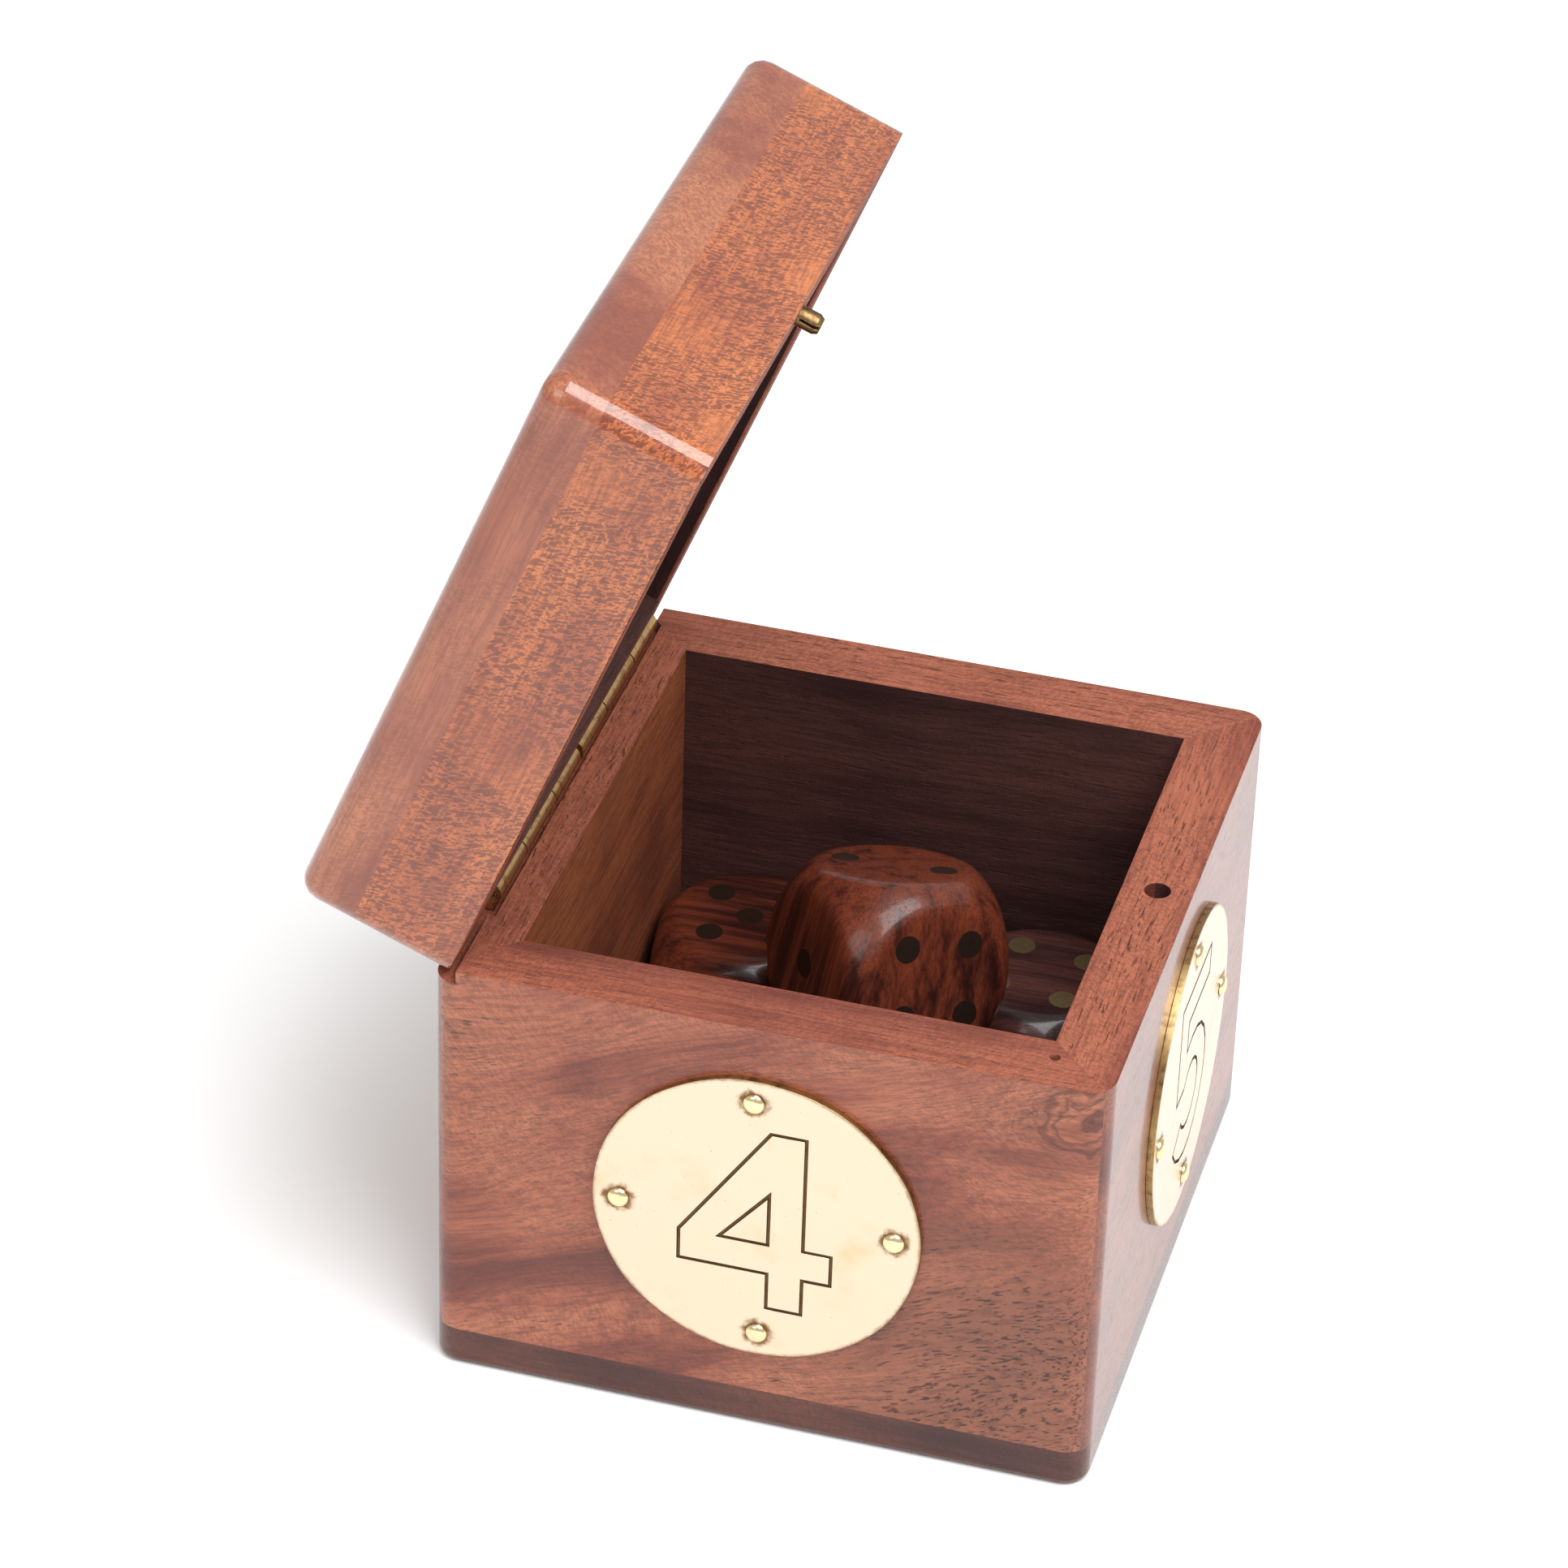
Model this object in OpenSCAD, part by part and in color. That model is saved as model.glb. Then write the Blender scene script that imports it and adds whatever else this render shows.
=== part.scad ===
// Wooden dice box with a hinged lid, drawn with the lid open as it stands.
// The origin is the middle of the bottom face. +X is the catch side, +Y is the back.

/* [Box body] */
// Width from the hinge side to the catch side
box_w = 76; // [72:0.5:90]
// Depth from front to back
box_d = 78; // [74:0.5:90]
// Height of the body, bottom board and walls together
box_h = 54.5; // [53:0.5:70]
// Thickness of the side walls and of the lid's rails
wall_t = 8; // [7:0.25:9]
// Thickness of the bottom board
base_t = 5; // [3:0.25:7]
// Radius of the upright corners
corner_r = 3; // [1:0.25:4]
// Rounding of the bottom board's lower edge
foot_r = 1; // [0.5:0.25:2]
// Radius of the small pin hole in the front rim
pin_hole_r = 0.6; // [0.4:0.1:0.8]
// Depth of that pin hole
pin_hole_depth = 3; // [2:0.5:6]

/* [Lid] */
// Height of the lid's rails
rail_h = 12; // [11:0.5:20]
// Thickness of the lid's top board
top_t = 7; // [6:0.5:10]
// Rounding of the top board's upper edge
crown_r = 2.5; // [1:0.25:3]
// Gap between the closed lid and the body's rim
rim_gap = 0.3; // [0.2:0.05:0.5]
// Angle at which the lid stands, counted from closed
lid_open = 68; // [0:1:95]
// Angle at which the open lid meets the body
open_max = 95; // [90:1:98]

/* [Hinges] */
// Length of each hinge
hinge_len = 29; // [22:0.5:30]
// Space between the two hinges
hinge_space = 1; // [0.5:0.5:4]
// How far the pair sits behind the middle of the side
hinge_shift = 5; // [0:0.5:5]
// How far the hinge pocket runs past the pair at each end
pocket_end = 3; // [1:0.5:3]
// Distance of the hinge line inside the outer face
hinge_in = 2; // [1.8:0.1:2.5]
// Height of the hinge line over the body's rim
hinge_up = 0.7; // [0.5:0.1:1]
// Radius of the knuckles
knuckle_r = 1.4; // [1.2:0.1:1.6]
// Length of the middle knuckle
knuckle_len = 10.5; // [6:0.5:12]
// Gap between neighbouring knuckles
knuckle_gap = 0.25; // [0.2:0.05:0.5]
// Radius of the hinge pins
hinge_pin_r = 0.6; // [0.5:0.05:0.8]
// Thickness of the hinge leaves
leaf_t = 0.8; // [0.6:0.1:1]
// How deep each leaf sits in its saw cut
leaf_depth = 7; // [5:0.5:9]
// Radius of the brads that hold the leaves
brad_r = 0.5; // [0.4:0.05:0.7]
// Length of the brads under their heads
brad_len = 5; // [3.5:0.5:6]

/* [Catch] */
// Radius of the split catch pin
catch_r = 1.2; // [1:0.1:1.5]
// How far the catch pin stands out of the lid's rim
catch_out = 2.7; // [2:0.1:4]
// How deep the catch pin sits in the lid's rail
catch_in = 6; // [4:0.5:8]
// Width of the split in the catch pin
catch_slit = 0.35; // [0.2:0.05:0.5]
// Play all round the catch pin in its hole
catch_play = 0.3; // [0.25:0.05:0.5]

/* [Number plates] */
// Diameter of the round plates
plate_d = 37.6; // [34:0.2:40]
// Thickness of the plates
plate_t = 0.8; // [0.6:0.1:1.2]
// Height of the plates' centres over the bottom face
plate_z = 29.5; // [25:0.5:30]
// Distance of each nail from the plate's centre
nail_ring = 15.7; // [14:0.1:16]
// Radius of the nail heads
head_r = 1.25; // [1:0.05:1.5]
// Height of the domed nail heads
head_h = 0.7; // [0.3:0.05:0.9]
// Radius of the nail shanks
shank_r = 0.5; // [0.4:0.05:0.6]
// Depth of the nails in the wood
shank_len = 4.5; // [3:0.5:5]
// Height of the engraved numerals
numeral_h = 24; // [20:0.5:26]
// Width of the engraved numerals
numeral_w = 17.4; // [14:0.2:19]
// Width of a numeral's stroke
stroke = 4; // [3:0.25:4.5]
// Width of the engraved line
line_w = 0.4; // [0.3:0.05:0.6]
// Depth of the engraved line
line_depth = 0.25; // [0.15:0.05:0.4]

/* [Dice] */
// Edge length of the dice
die_s = 22; // [20:0.5:22]
// Radius of the ball that rounds the dice, as a share of the edge
die_round = 0.645; // [0.62:0.005:0.65]
// Radius of the inlaid pips
pip_r = 1.6; // [1:0.1:1.8]
// Depth of the inlaid pips
pip_depth = 1.2; // [0.8:0.1:2]
// Distance of the pips from a face's middle lines
pip_pitch = 4.1; // [3.7:0.1:4.3]
// Play between a lying die and the walls of the corner it lies in
die_play = 1; // [0.8:0.1:2]
// How far the die on top leans over
lean = 16; // [14:1:18]
// How far the die on top sinks into the gap between the others
lean_drop = 2.75; // [2:0.05:2.75]

/* [Hidden] */

// Play of a nail, a brad, a leaf, a pip or a pin in its hole
fit = 0.05;
// Room kept between wood and a turning hinge
turn_room = 0.3;
// Room that a cut takes past a face
past = 1;
// Steps in a rounded corner and in a numeral's curves
corner_steps = 10;
curve_steps = 14;

walls_h = box_h - base_t;
lid_rim_z = box_h + rim_gap;
lid_top_z = lid_rim_z + rail_h + top_t;
inner_w = box_w - 2 * wall_t;
inner_d = box_d - 2 * wall_t;
axis_x = -box_w / 2 + hinge_in;
axis_z = box_h + hinge_up;
pair_len = 2 * hinge_len + hinge_space;
near_hinge_y = hinge_shift - (hinge_len + hinge_space) / 2;
far_hinge_y = hinge_shift + (hinge_len + hinge_space) / 2;
// The lid's lower edge on the hinge side swings on this radius
edge_swing = norm([hinge_in, hinge_up - rim_gap]);
edge_end = edge_swing * cos(180 + asin((hinge_up - rim_gap) / edge_swing) + open_max);
knuckle_room = knuckle_r + turn_room;
// Brads sit halfway down the leaves
brad_drop = (leaf_depth + knuckle_room) / 2;
catch_x = box_w / 2 - wall_t / 2;

WOOD_FRONT = [0.42, 0.20, 0.12];
WOOD_SIDE = [0.58, 0.32, 0.22];
WOOD_LID = [0.62, 0.34, 0.20];
WOOD_BASE = [0.25, 0.12, 0.08];
WOOD_DIE = [0.30, 0.13, 0.09];
BRASS = [0.80, 0.68, 0.42];
BRASS_DARK = [0.45, 0.33, 0.16];

// Points on an arc, either way round
function arc(c, r, a0, a1, n) = [for (i = [0:n]) let (a = a0 + (a1 - a0) * i / n) c + r * [cos(a), sin(a)]];

// Outline of a wall or rail with mitred ends, outer face on y = 0
function mitred(len) = concat(
    [[-len / 2 + wall_t, wall_t], [len / 2 - wall_t, wall_t]],
    arc([len / 2 - corner_r, corner_r], corner_r, -45, -90, corner_steps / 2),
    arc([-len / 2 + corner_r, corner_r], corner_r, -90, -135, corner_steps / 2)
);

// Outline of a board with rounded corners, drawn in by inset
function board(inset) = let (
    x = box_w / 2 - corner_r, y = box_d / 2 - corner_r, r = corner_r - inset
) concat(
    arc([x, y], r, 0, 90, corner_steps), arc([-x, y], r, 90, 180, corner_steps),
    arc([-x, -y], r, 180, 270, corner_steps), arc([x, -y], r, 270, 360, corner_steps)
);

// A clockwise outline drawn in by d, with its corners kept sharp
function unit(v) = v / norm(v);
function beside(p, d) = [for (i = [0:len(p) - 1]) let (
    before = unit(p[i] - p[(i + len(p) - 1) % len(p)]),
    after = unit(p[(i + 1) % len(p)] - p[i]),
    n0 = [before[1], -before[0]], n1 = [after[1], -after[0]]
) p[i] + d * (n0 + n1) / (1 + n0 * n1)];

// Numerals as closed clockwise outlines round their middle
top_y = numeral_h / 2;
right_x = numeral_w / 2;
stem_x = right_x - 0.8 * stroke;
bar_y = 1.2 * stroke - top_y;
four = [
    [stem_x - stroke, top_y], [stem_x, top_y], [stem_x, bar_y + stroke],
    [right_x, bar_y + stroke], [right_x, bar_y], [stem_x, bar_y], [stem_x, -top_y],
    [stem_x - stroke, -top_y], [stem_x - stroke, bar_y], [-right_x, bar_y], [-right_x, bar_y + stroke]
];
four_counter = [
    [stem_x - stroke, bar_y + 2.7 * stroke], [stem_x - stroke, bar_y + stroke],
    [stem_x - 2.4 * stroke, bar_y + stroke]
];
belly_r = 0.34 * numeral_h;
belly = [0, belly_r - top_y];
five_x = -0.8 * right_x;
five_turn = acos((five_x + stroke) / belly_r);
five = concat(
    [[five_x, top_y], [0.85 * right_x, top_y], [0.85 * right_x, top_y - stroke],
     [five_x + stroke, top_y - stroke]],
    arc(belly, belly_r, five_turn, -150, curve_steps),
    arc(belly, belly_r - stroke, -150, 140, curve_steps),
    [[five_x, belly[1] + (belly_r - stroke) * sin(140)]]
);
brow_r = 0.3 * numeral_h;
brow = [0, top_y - brow_r];
bow_gap = brow[1] - belly[1];
bow_cut = (brow_r * brow_r - belly_r * belly_r + bow_gap * bow_gap) / (2 * bow_gap);
three = concat(
    arc(brow, brow_r, 160, -asin(bow_cut / brow_r), curve_steps),
    arc(belly, belly_r, asin((bow_gap - bow_cut) / belly_r), -155, curve_steps),
    arc(belly, belly_r - stroke, -155, 85, curve_steps),
    arc(brow, brow_r - stroke, -85, 160, curve_steps)
);
two = concat(
    arc(brow, brow_r, 170, -38, curve_steps),
    [[-0.15 * right_x, stroke - top_y], [right_x, stroke - top_y], [right_x, -top_y],
     [-right_x, -top_y], [-right_x, 0.9 * stroke - top_y]],
    arc(brow, brow_r - stroke, -38, 170, curve_steps)
);
one = [
    [0, top_y], [stroke / 2, top_y], [stroke / 2, -top_y], [-stroke / 2, -top_y],
    [-stroke / 2, top_y - 1.6 * stroke], [-1.5 * stroke, top_y - 1.9 * stroke],
    [-1.5 * stroke, top_y - 1.1 * stroke]
];

// Where each number plate lies: turn, distance of its face, place along the wall
front_plate = [0, box_d / 2, -0.4];
catch_plate = [90, box_w / 2, 2.9];
back_plate = [180, box_d / 2, 0];
hinge_plate = [270, box_w / 2, 0];

// The dice: middle, then the turn about the upright, the lean and the roll, then the
// quarter turns that choose the faces. Four lie in the corners, one leans in the gap.
lying_z = base_t + die_s / 2;
corner_x = (inner_w - die_s) / 2 - die_play;
corner_y = (inner_d - die_s) / 2 - die_play;
top_die = [[2.3, 4.9, lying_z + die_s - lean_drop], [-44, -lean, -12], [90, 180]];
left_back_die = [[-corner_x, corner_y, lying_z], [6, 0, 0], [90, 0]];
right_back_die = [[corner_x - 0.4, corner_y - 0.3, lying_z], [-7, 0, 0], [0, 90]];
left_front_die = [[-corner_x, -corner_y, lying_z], [-4, 0, 0], [180, 0]];
right_front_die = [[corner_x, -corner_y, lying_z], [5, 0, 0], [0, 270]];

// Turns what is drawn for the closed lid to where the lid stands
module as_opened() {
    translate([axis_x, 0, axis_z]) rotate([0, -lid_open, 0]) translate([-axis_x, 0, -axis_z]) children();
}

module upright(len, h, turn, out) {
    rotate([0, 0, turn]) translate([0, -out, 0]) linear_extrude(h) polygon(mitred(len));
}

// A plane on the outside of a wall, x along it, y up and z outwards
module on_wall(place) {
    rotate([0, 0, place[0]]) translate([place[2], -place[1], plate_z]) rotate([90, 0, 0]) children();
}

module on_lid() {
    as_opened() translate([0, 0, lid_top_z]) children();
}

module nail_spots() {
    for (a = [0:90:270]) rotate(a + 2) translate([nail_ring, 0, 0]) children();
}

module nail_holes() {
    nail_spots() translate([0, 0, -shank_len - fit]) cylinder(r = shank_r + fit, h = shank_len + past, $fn = 32);
}

// A pin with a low round head seated on z = 0
module headed_pin(r, len, top_r, top_h) {
    ball = (top_r * top_r + top_h * top_h) / (2 * top_h);
    union() {
        translate([0, 0, -len]) cylinder(r = r, h = len + top_h / 2, $fn = 32);
        intersection() {
            translate([0, 0, top_h - ball]) sphere(r = ball, $fn = 48);
            cylinder(r = 2 * top_r, h = 2 * top_h, $fn = 48);
        }
    }
}

module plate_nails() {
    nail_spots() translate([0, 0, plate_t]) headed_pin(shank_r, shank_len + plate_t, head_r, head_h);
}

module engraved(outline) {
    translate([0, 0, plate_t - line_depth]) linear_extrude(line_depth + past) difference() {
        polygon(beside(outline, -line_w / 2));
        polygon(beside(outline, line_w / 2));
    }
}

module plate(outline) {
    difference() {
        cylinder(d = plate_d, h = plate_t, $fn = 120);
        engraved(outline);
        nail_spots() translate([0, 0, -past]) cylinder(r = shank_r + fit, h = plate_t + 2 * past, $fn = 32);
    }
}

module plate_four() {
    color(BRASS) on_wall(front_plate) difference() {
        plate(four);
        engraved(four_counter);
    }
}
module plate_five() { color(BRASS) on_wall(catch_plate) plate(five); }
module plate_three() { color(BRASS) on_wall(back_plate) plate(three); }
module plate_two() { color(BRASS) on_wall(hinge_plate) plate(two); }
module plate_one() { color(BRASS) on_lid() plate(one); }
module nails_four() { color(BRASS_DARK) on_wall(front_plate) plate_nails(); }
module nails_five() { color(BRASS_DARK) on_wall(catch_plate) plate_nails(); }
module nails_three() { color(BRASS_DARK) on_wall(back_plate) plate_nails(); }
module nails_two() { color(BRASS_DARK) on_wall(hinge_plate) plate_nails(); }
module nails_one() { color(BRASS_DARK) on_lid() plate_nails(); }

// Bottom board under the walls, with its lower edge rounded
module base_board() {
    color(WOOD_BASE) hull() {
        linear_extrude(0.01) polygon(board(foot_r));
        translate([0, 0, foot_r * 0.3]) linear_extrude(0.01) polygon(board(foot_r * 0.3));
        translate([0, 0, foot_r]) linear_extrude(base_t - foot_r) polygon(board(0));
    }
}

module front_wall() {
    color(WOOD_FRONT) difference() {
        translate([0, 0, base_t]) upright(box_w, walls_h, 0, box_d / 2);
        on_wall(front_plate) nail_holes();
        edge_groove();
        translate([box_w / 2 - wall_t + 0.6, -box_d / 2 + wall_t * 0.64, box_h - pin_hole_depth])
            cylinder(r = pin_hole_r, h = pin_hole_depth + past, $fn = 24);
    }
}

module back_wall() {
    color(WOOD_FRONT) difference() {
        translate([0, 0, base_t]) upright(box_w, walls_h, 180, box_d / 2);
        on_wall(back_plate) nail_holes();
        edge_groove();
    }
}

// The rim's outer edge on the hinge side is cut back for the lid's swinging edge
module edge_groove() {
    translate([-box_w / 2 - past, -box_d / 2 - past, axis_z - edge_swing - turn_room])
        cube([past + hinge_in + max(0, edge_end) + turn_room, box_d + 2 * past, edge_swing + hinge_up + past]);
}

// Room for the knuckles, open to the outside
module knuckle_pocket(z0, z1) {
    translate([-box_w / 2 - past, hinge_shift - pair_len / 2 - pocket_end, z0])
        cube([past + hinge_in + knuckle_room, pair_len + 2 * pocket_end, z1 - z0]);
}

module saw_cuts(z0, z1) {
    for (y = [near_hinge_y, far_hinge_y])
        translate([axis_x - leaf_t / 2 - fit, y - hinge_len / 2 - fit, z0])
            cube([leaf_t + 2 * fit, hinge_len + 2 * fit, z1 - z0]);
}

module brad_spots(z) {
    for (hinge_y = [near_hinge_y, far_hinge_y], side = [-1, 0, 1])
        translate([-box_w / 2, hinge_y + side * hinge_len / 3, z]) rotate([0, -90, 0]) children();
}

module brad_holes(z) {
    brad_spots(z) translate([0, 0, -brad_len - fit]) cylinder(r = brad_r + fit, h = brad_len + past, $fn = 24);
}

module brads(z) {
    brad_spots(z) headed_pin(brad_r, brad_len, 1.6 * brad_r, 0.5 * brad_r);
}

module hinge_wall() {
    color(WOOD_SIDE) difference() {
        translate([0, 0, base_t]) upright(box_d, walls_h, 270, box_w / 2);
        edge_groove();
        knuckle_pocket(axis_z - edge_swing - turn_room, box_h + past);
        saw_cuts(box_h - leaf_depth - fit, box_h + past);
        brad_holes(box_h - brad_drop);
        on_wall(hinge_plate) nail_holes();
    }
}

module catch_wall() {
    color(WOOD_SIDE) difference() {
        translate([0, 0, base_t]) upright(box_d, walls_h, 90, box_w / 2);
        translate([catch_x, 0, box_h - catch_out - past])
            cylinder(r = catch_r + catch_play, h = catch_out + 2 * past, $fn = 48);
        on_wall(catch_plate) nail_holes();
    }
}

// Top board of the lid, with its upper edge rounded
module lid_top_board() {
    color(WOOD_LID) difference() {
        as_opened() translate([0, 0, lid_rim_z + rail_h]) hull() {
            linear_extrude(top_t - crown_r) polygon(board(0));
            for (a = [22.5, 45, 67.5, 90])
                translate([0, 0, top_t - crown_r + crown_r * sin(a) - 0.01])
                    linear_extrude(0.01) polygon(board(crown_r * (1 - cos(a))));
        }
        on_lid() nail_holes();
    }
}

module rail(len, turn, out) {
    translate([0, 0, lid_rim_z]) upright(len, rail_h, turn, out);
}

module lid_front_rail() { color(WOOD_LID) as_opened() rail(box_w, 0, box_d / 2); }
module lid_back_rail() { color(WOOD_LID) as_opened() rail(box_w, 180, box_d / 2); }

module lid_hinge_rail() {
    color(WOOD_LID) as_opened() difference() {
        rail(box_d, 270, box_w / 2);
        knuckle_pocket(lid_rim_z - past, axis_z + knuckle_room);
        saw_cuts(lid_rim_z - past, lid_rim_z + leaf_depth + fit);
        brad_holes(lid_rim_z + brad_drop);
    }
}

module lid_catch_rail() {
    color(WOOD_LID) as_opened() difference() {
        rail(box_d, 90, box_w / 2);
        translate([catch_x, 0, lid_rim_z - past]) cylinder(r = catch_r + fit, h = catch_in + past + fit, $fn = 48);
    }
}

// A length of knuckle on the hinge line, its middle at y
module knuckle(y, len) {
    translate([axis_x, y - len / 2, axis_z]) rotate([-90, 0, 0]) cylinder(r = knuckle_r, h = len, $fn = 40);
}

module leaf_plate(y, len, z0, z1) {
    translate([axis_x - leaf_t / 2, y - len / 2, z0]) cube([leaf_t, len, z1 - z0]);
}

module pin_bore(y) {
    translate([axis_x, y - hinge_len / 2 - past, axis_z]) rotate([-90, 0, 0])
        cylinder(r = hinge_pin_r + fit, h = hinge_len + 2 * past, $fn = 40);
}

end_len = (hinge_len - knuckle_len) / 2 - knuckle_gap;
end_y = (hinge_len - end_len) / 2;

module box_leaf(y) {
    color(BRASS) difference() {
        union() {
            leaf_plate(y, hinge_len, box_h - leaf_depth, axis_z - knuckle_r - knuckle_gap);
            for (side = [-1, 1]) {
                knuckle(y + side * end_y, end_len);
                leaf_plate(y + side * end_y, end_len, box_h - leaf_depth, axis_z);
            }
        }
        pin_bore(y);
        brad_holes(box_h - brad_drop);
    }
}

module lid_leaf(y) {
    color(BRASS) as_opened() difference() {
        union() {
            leaf_plate(y, hinge_len, axis_z + knuckle_r + knuckle_gap, lid_rim_z + leaf_depth);
            knuckle(y, knuckle_len);
            leaf_plate(y, knuckle_len, axis_z, lid_rim_z + leaf_depth);
        }
        pin_bore(y);
        brad_holes(lid_rim_z + brad_drop);
    }
}

module hinge_pin(y) {
    color(BRASS_DARK) translate([axis_x, y - hinge_len / 2, axis_z]) rotate([-90, 0, 0])
        cylinder(r = hinge_pin_r, h = hinge_len, $fn = 40);
}

module near_hinge_box_leaf() { box_leaf(near_hinge_y); }
module near_hinge_lid_leaf() { lid_leaf(near_hinge_y); }
module near_hinge_pin() { hinge_pin(near_hinge_y); }
module far_hinge_box_leaf() { box_leaf(far_hinge_y); }
module far_hinge_lid_leaf() { lid_leaf(far_hinge_y); }
module far_hinge_pin() { hinge_pin(far_hinge_y); }
module box_leaf_brads() { color(BRASS_DARK) brads(box_h - brad_drop); }
module lid_leaf_brads() { color(BRASS_DARK) as_opened() brads(lid_rim_z + brad_drop); }

// Split pin that grips in the hole of the body's rim
module catch_pin() {
    tip = catch_r / 2;
    color(BRASS) as_opened() translate([catch_x, 0, lid_rim_z - catch_out]) difference() {
        union() {
            cylinder(r1 = catch_r - tip / 2, r2 = catch_r, h = tip, $fn = 48);
            translate([0, 0, tip]) cylinder(r = catch_r, h = catch_out + catch_in - tip, $fn = 48);
        }
        translate([catch_r / 6 - catch_slit / 2, -catch_r - past, -past])
            cube([catch_slit, 2 * (catch_r + past), catch_out + past - tip / 2]);
    }
}

// Pips of a face as steps of the pip distance from its middle
PIPS = [
    [],
    [[0, 0]],
    [[-1, -1], [1, 1]],
    [[-1, -1], [0, 0], [1, 1]],
    [[-1, -1], [-1, 1], [1, -1], [1, 1]],
    [[-1, -1], [-1, 1], [0, 0], [1, -1], [1, 1]],
    [[-1.25, -1], [0, -1], [1.25, -1], [-1.25, 1], [0, 1], [1.25, 1]]
];
// Which way each face's number looks, so that opposite faces make seven
FACE_TURNS = [[0, 0], [90, 0], [0, 90], [0, -90], [-90, 0], [180, 0]];

module die_place(die) {
    translate(die[0]) rotate([0, 0, die[1][0]]) rotate([0, die[1][1], 0]) rotate([die[1][2], 0, 0])
        rotate([die[2][0], die[2][1], 0]) children();
}

module pip_spots() {
    for (face = [1:6], spot = PIPS[face])
        rotate([FACE_TURNS[face - 1][0], FACE_TURNS[face - 1][1], 0])
            translate([spot[0] * pip_pitch, spot[1] * pip_pitch, die_s / 2]) children();
}

module die(place) {
    color(WOOD_DIE) die_place(place) difference() {
        intersection() {
            cube(die_s, center = true);
            sphere(r = die_s * die_round, $fn = 96);
        }
        pip_spots() translate([0, 0, -pip_depth]) cylinder(r = pip_r + fit, h = pip_depth + past, $fn = 32);
    }
}

module pips(place) {
    color(BRASS) die_place(place) pip_spots() translate([0, 0, -pip_depth])
        cylinder(r = pip_r, h = pip_depth, $fn = 32);
}

base_board();
front_wall();
back_wall();
hinge_wall();
catch_wall();
plate_four();
plate_five();
plate_three();
plate_two();
plate_one();
nails_four();
nails_five();
nails_three();
nails_two();
nails_one();
lid_top_board();
lid_front_rail();
lid_back_rail();
lid_hinge_rail();
lid_catch_rail();
near_hinge_box_leaf();
near_hinge_lid_leaf();
near_hinge_pin();
far_hinge_box_leaf();
far_hinge_lid_leaf();
far_hinge_pin();
box_leaf_brads();
lid_leaf_brads();
catch_pin();
die(top_die);
die(left_back_die);
die(right_back_die);
die(left_front_die);
die(right_front_die);
pips(top_die);  // top_die_pips
pips(left_back_die);  // left_back_die_pips
pips(right_back_die);  // right_back_die_pips
pips(left_front_die);  // left_front_die_pips
pips(right_front_die);  // right_front_die_pips
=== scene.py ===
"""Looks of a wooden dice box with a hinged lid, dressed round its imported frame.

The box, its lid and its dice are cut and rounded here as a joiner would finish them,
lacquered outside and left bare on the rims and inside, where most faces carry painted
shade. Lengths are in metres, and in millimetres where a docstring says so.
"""
import logging
import math
from collections.abc import Callable
from dataclasses import dataclass
from enum import Enum

import bmesh
import bpy
from mathutils import Euler, Matrix, Vector, noise


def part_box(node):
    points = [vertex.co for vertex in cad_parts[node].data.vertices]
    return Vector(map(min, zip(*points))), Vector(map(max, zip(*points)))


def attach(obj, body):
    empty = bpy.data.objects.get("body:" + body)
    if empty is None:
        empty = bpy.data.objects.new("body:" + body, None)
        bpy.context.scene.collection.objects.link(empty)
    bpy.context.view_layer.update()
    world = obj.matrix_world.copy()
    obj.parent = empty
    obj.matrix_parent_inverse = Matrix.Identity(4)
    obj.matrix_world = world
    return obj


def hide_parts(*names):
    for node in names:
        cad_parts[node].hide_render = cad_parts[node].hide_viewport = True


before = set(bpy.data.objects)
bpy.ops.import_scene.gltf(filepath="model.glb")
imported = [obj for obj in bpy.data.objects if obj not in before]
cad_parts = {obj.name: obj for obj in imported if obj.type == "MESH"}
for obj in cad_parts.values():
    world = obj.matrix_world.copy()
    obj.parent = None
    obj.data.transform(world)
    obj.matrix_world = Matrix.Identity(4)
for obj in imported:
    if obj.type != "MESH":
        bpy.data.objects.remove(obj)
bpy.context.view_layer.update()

LOG = logging.getLogger("dice_box")
MM = 0.001
TO_MM = 1 / MM

# The box as the frame holds it
BOX_HALF_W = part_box("base_board")[1][0]
BOX_HALF_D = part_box("base_board")[1][1]
RIM_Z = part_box("catch_wall")[1][2]

# The lid, closed on the rim and turned open about the hinges
HINGE_INSET = 2 * MM
HINGE_LIFT = 0.7 * MM
HINGE_LINE = Vector((-BOX_HALF_W + HINGE_INSET, 0, RIM_Z + HINGE_LIFT))
LID_HEIGHT = 19.3 * MM
LID_TILT = math.radians(68)

# The nails of every number plate
NAILS = 4
NAIL_RING = 15.7 * MM
NAIL_TURN = math.radians(2)

# How a copied piece is merged and its edges are found, with a cosine for its glued faces
MERGED = 0.002 * MM
FLAT_ANGLE = math.radians(0.6)
EDGE_ANGLE = math.radians(35)
GLUED_FACING = 0.97

# How far a board's figure shifts from its outside to its rim and its inside
RIM_SHIFT = 0.4
INSIDE_SHIFT = 0.9

# What feeds a node's input, what picks a face's material, a colour and a place or a turn
Feed = bpy.types.NodeSocket | bpy.types.ID | Vector | Euler | float | tuple[float, ...]
Choose = Callable[[bpy.types.MeshPolygon], int]
Colour = tuple[float, float, float]
Triple = tuple[float, float, float]


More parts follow.
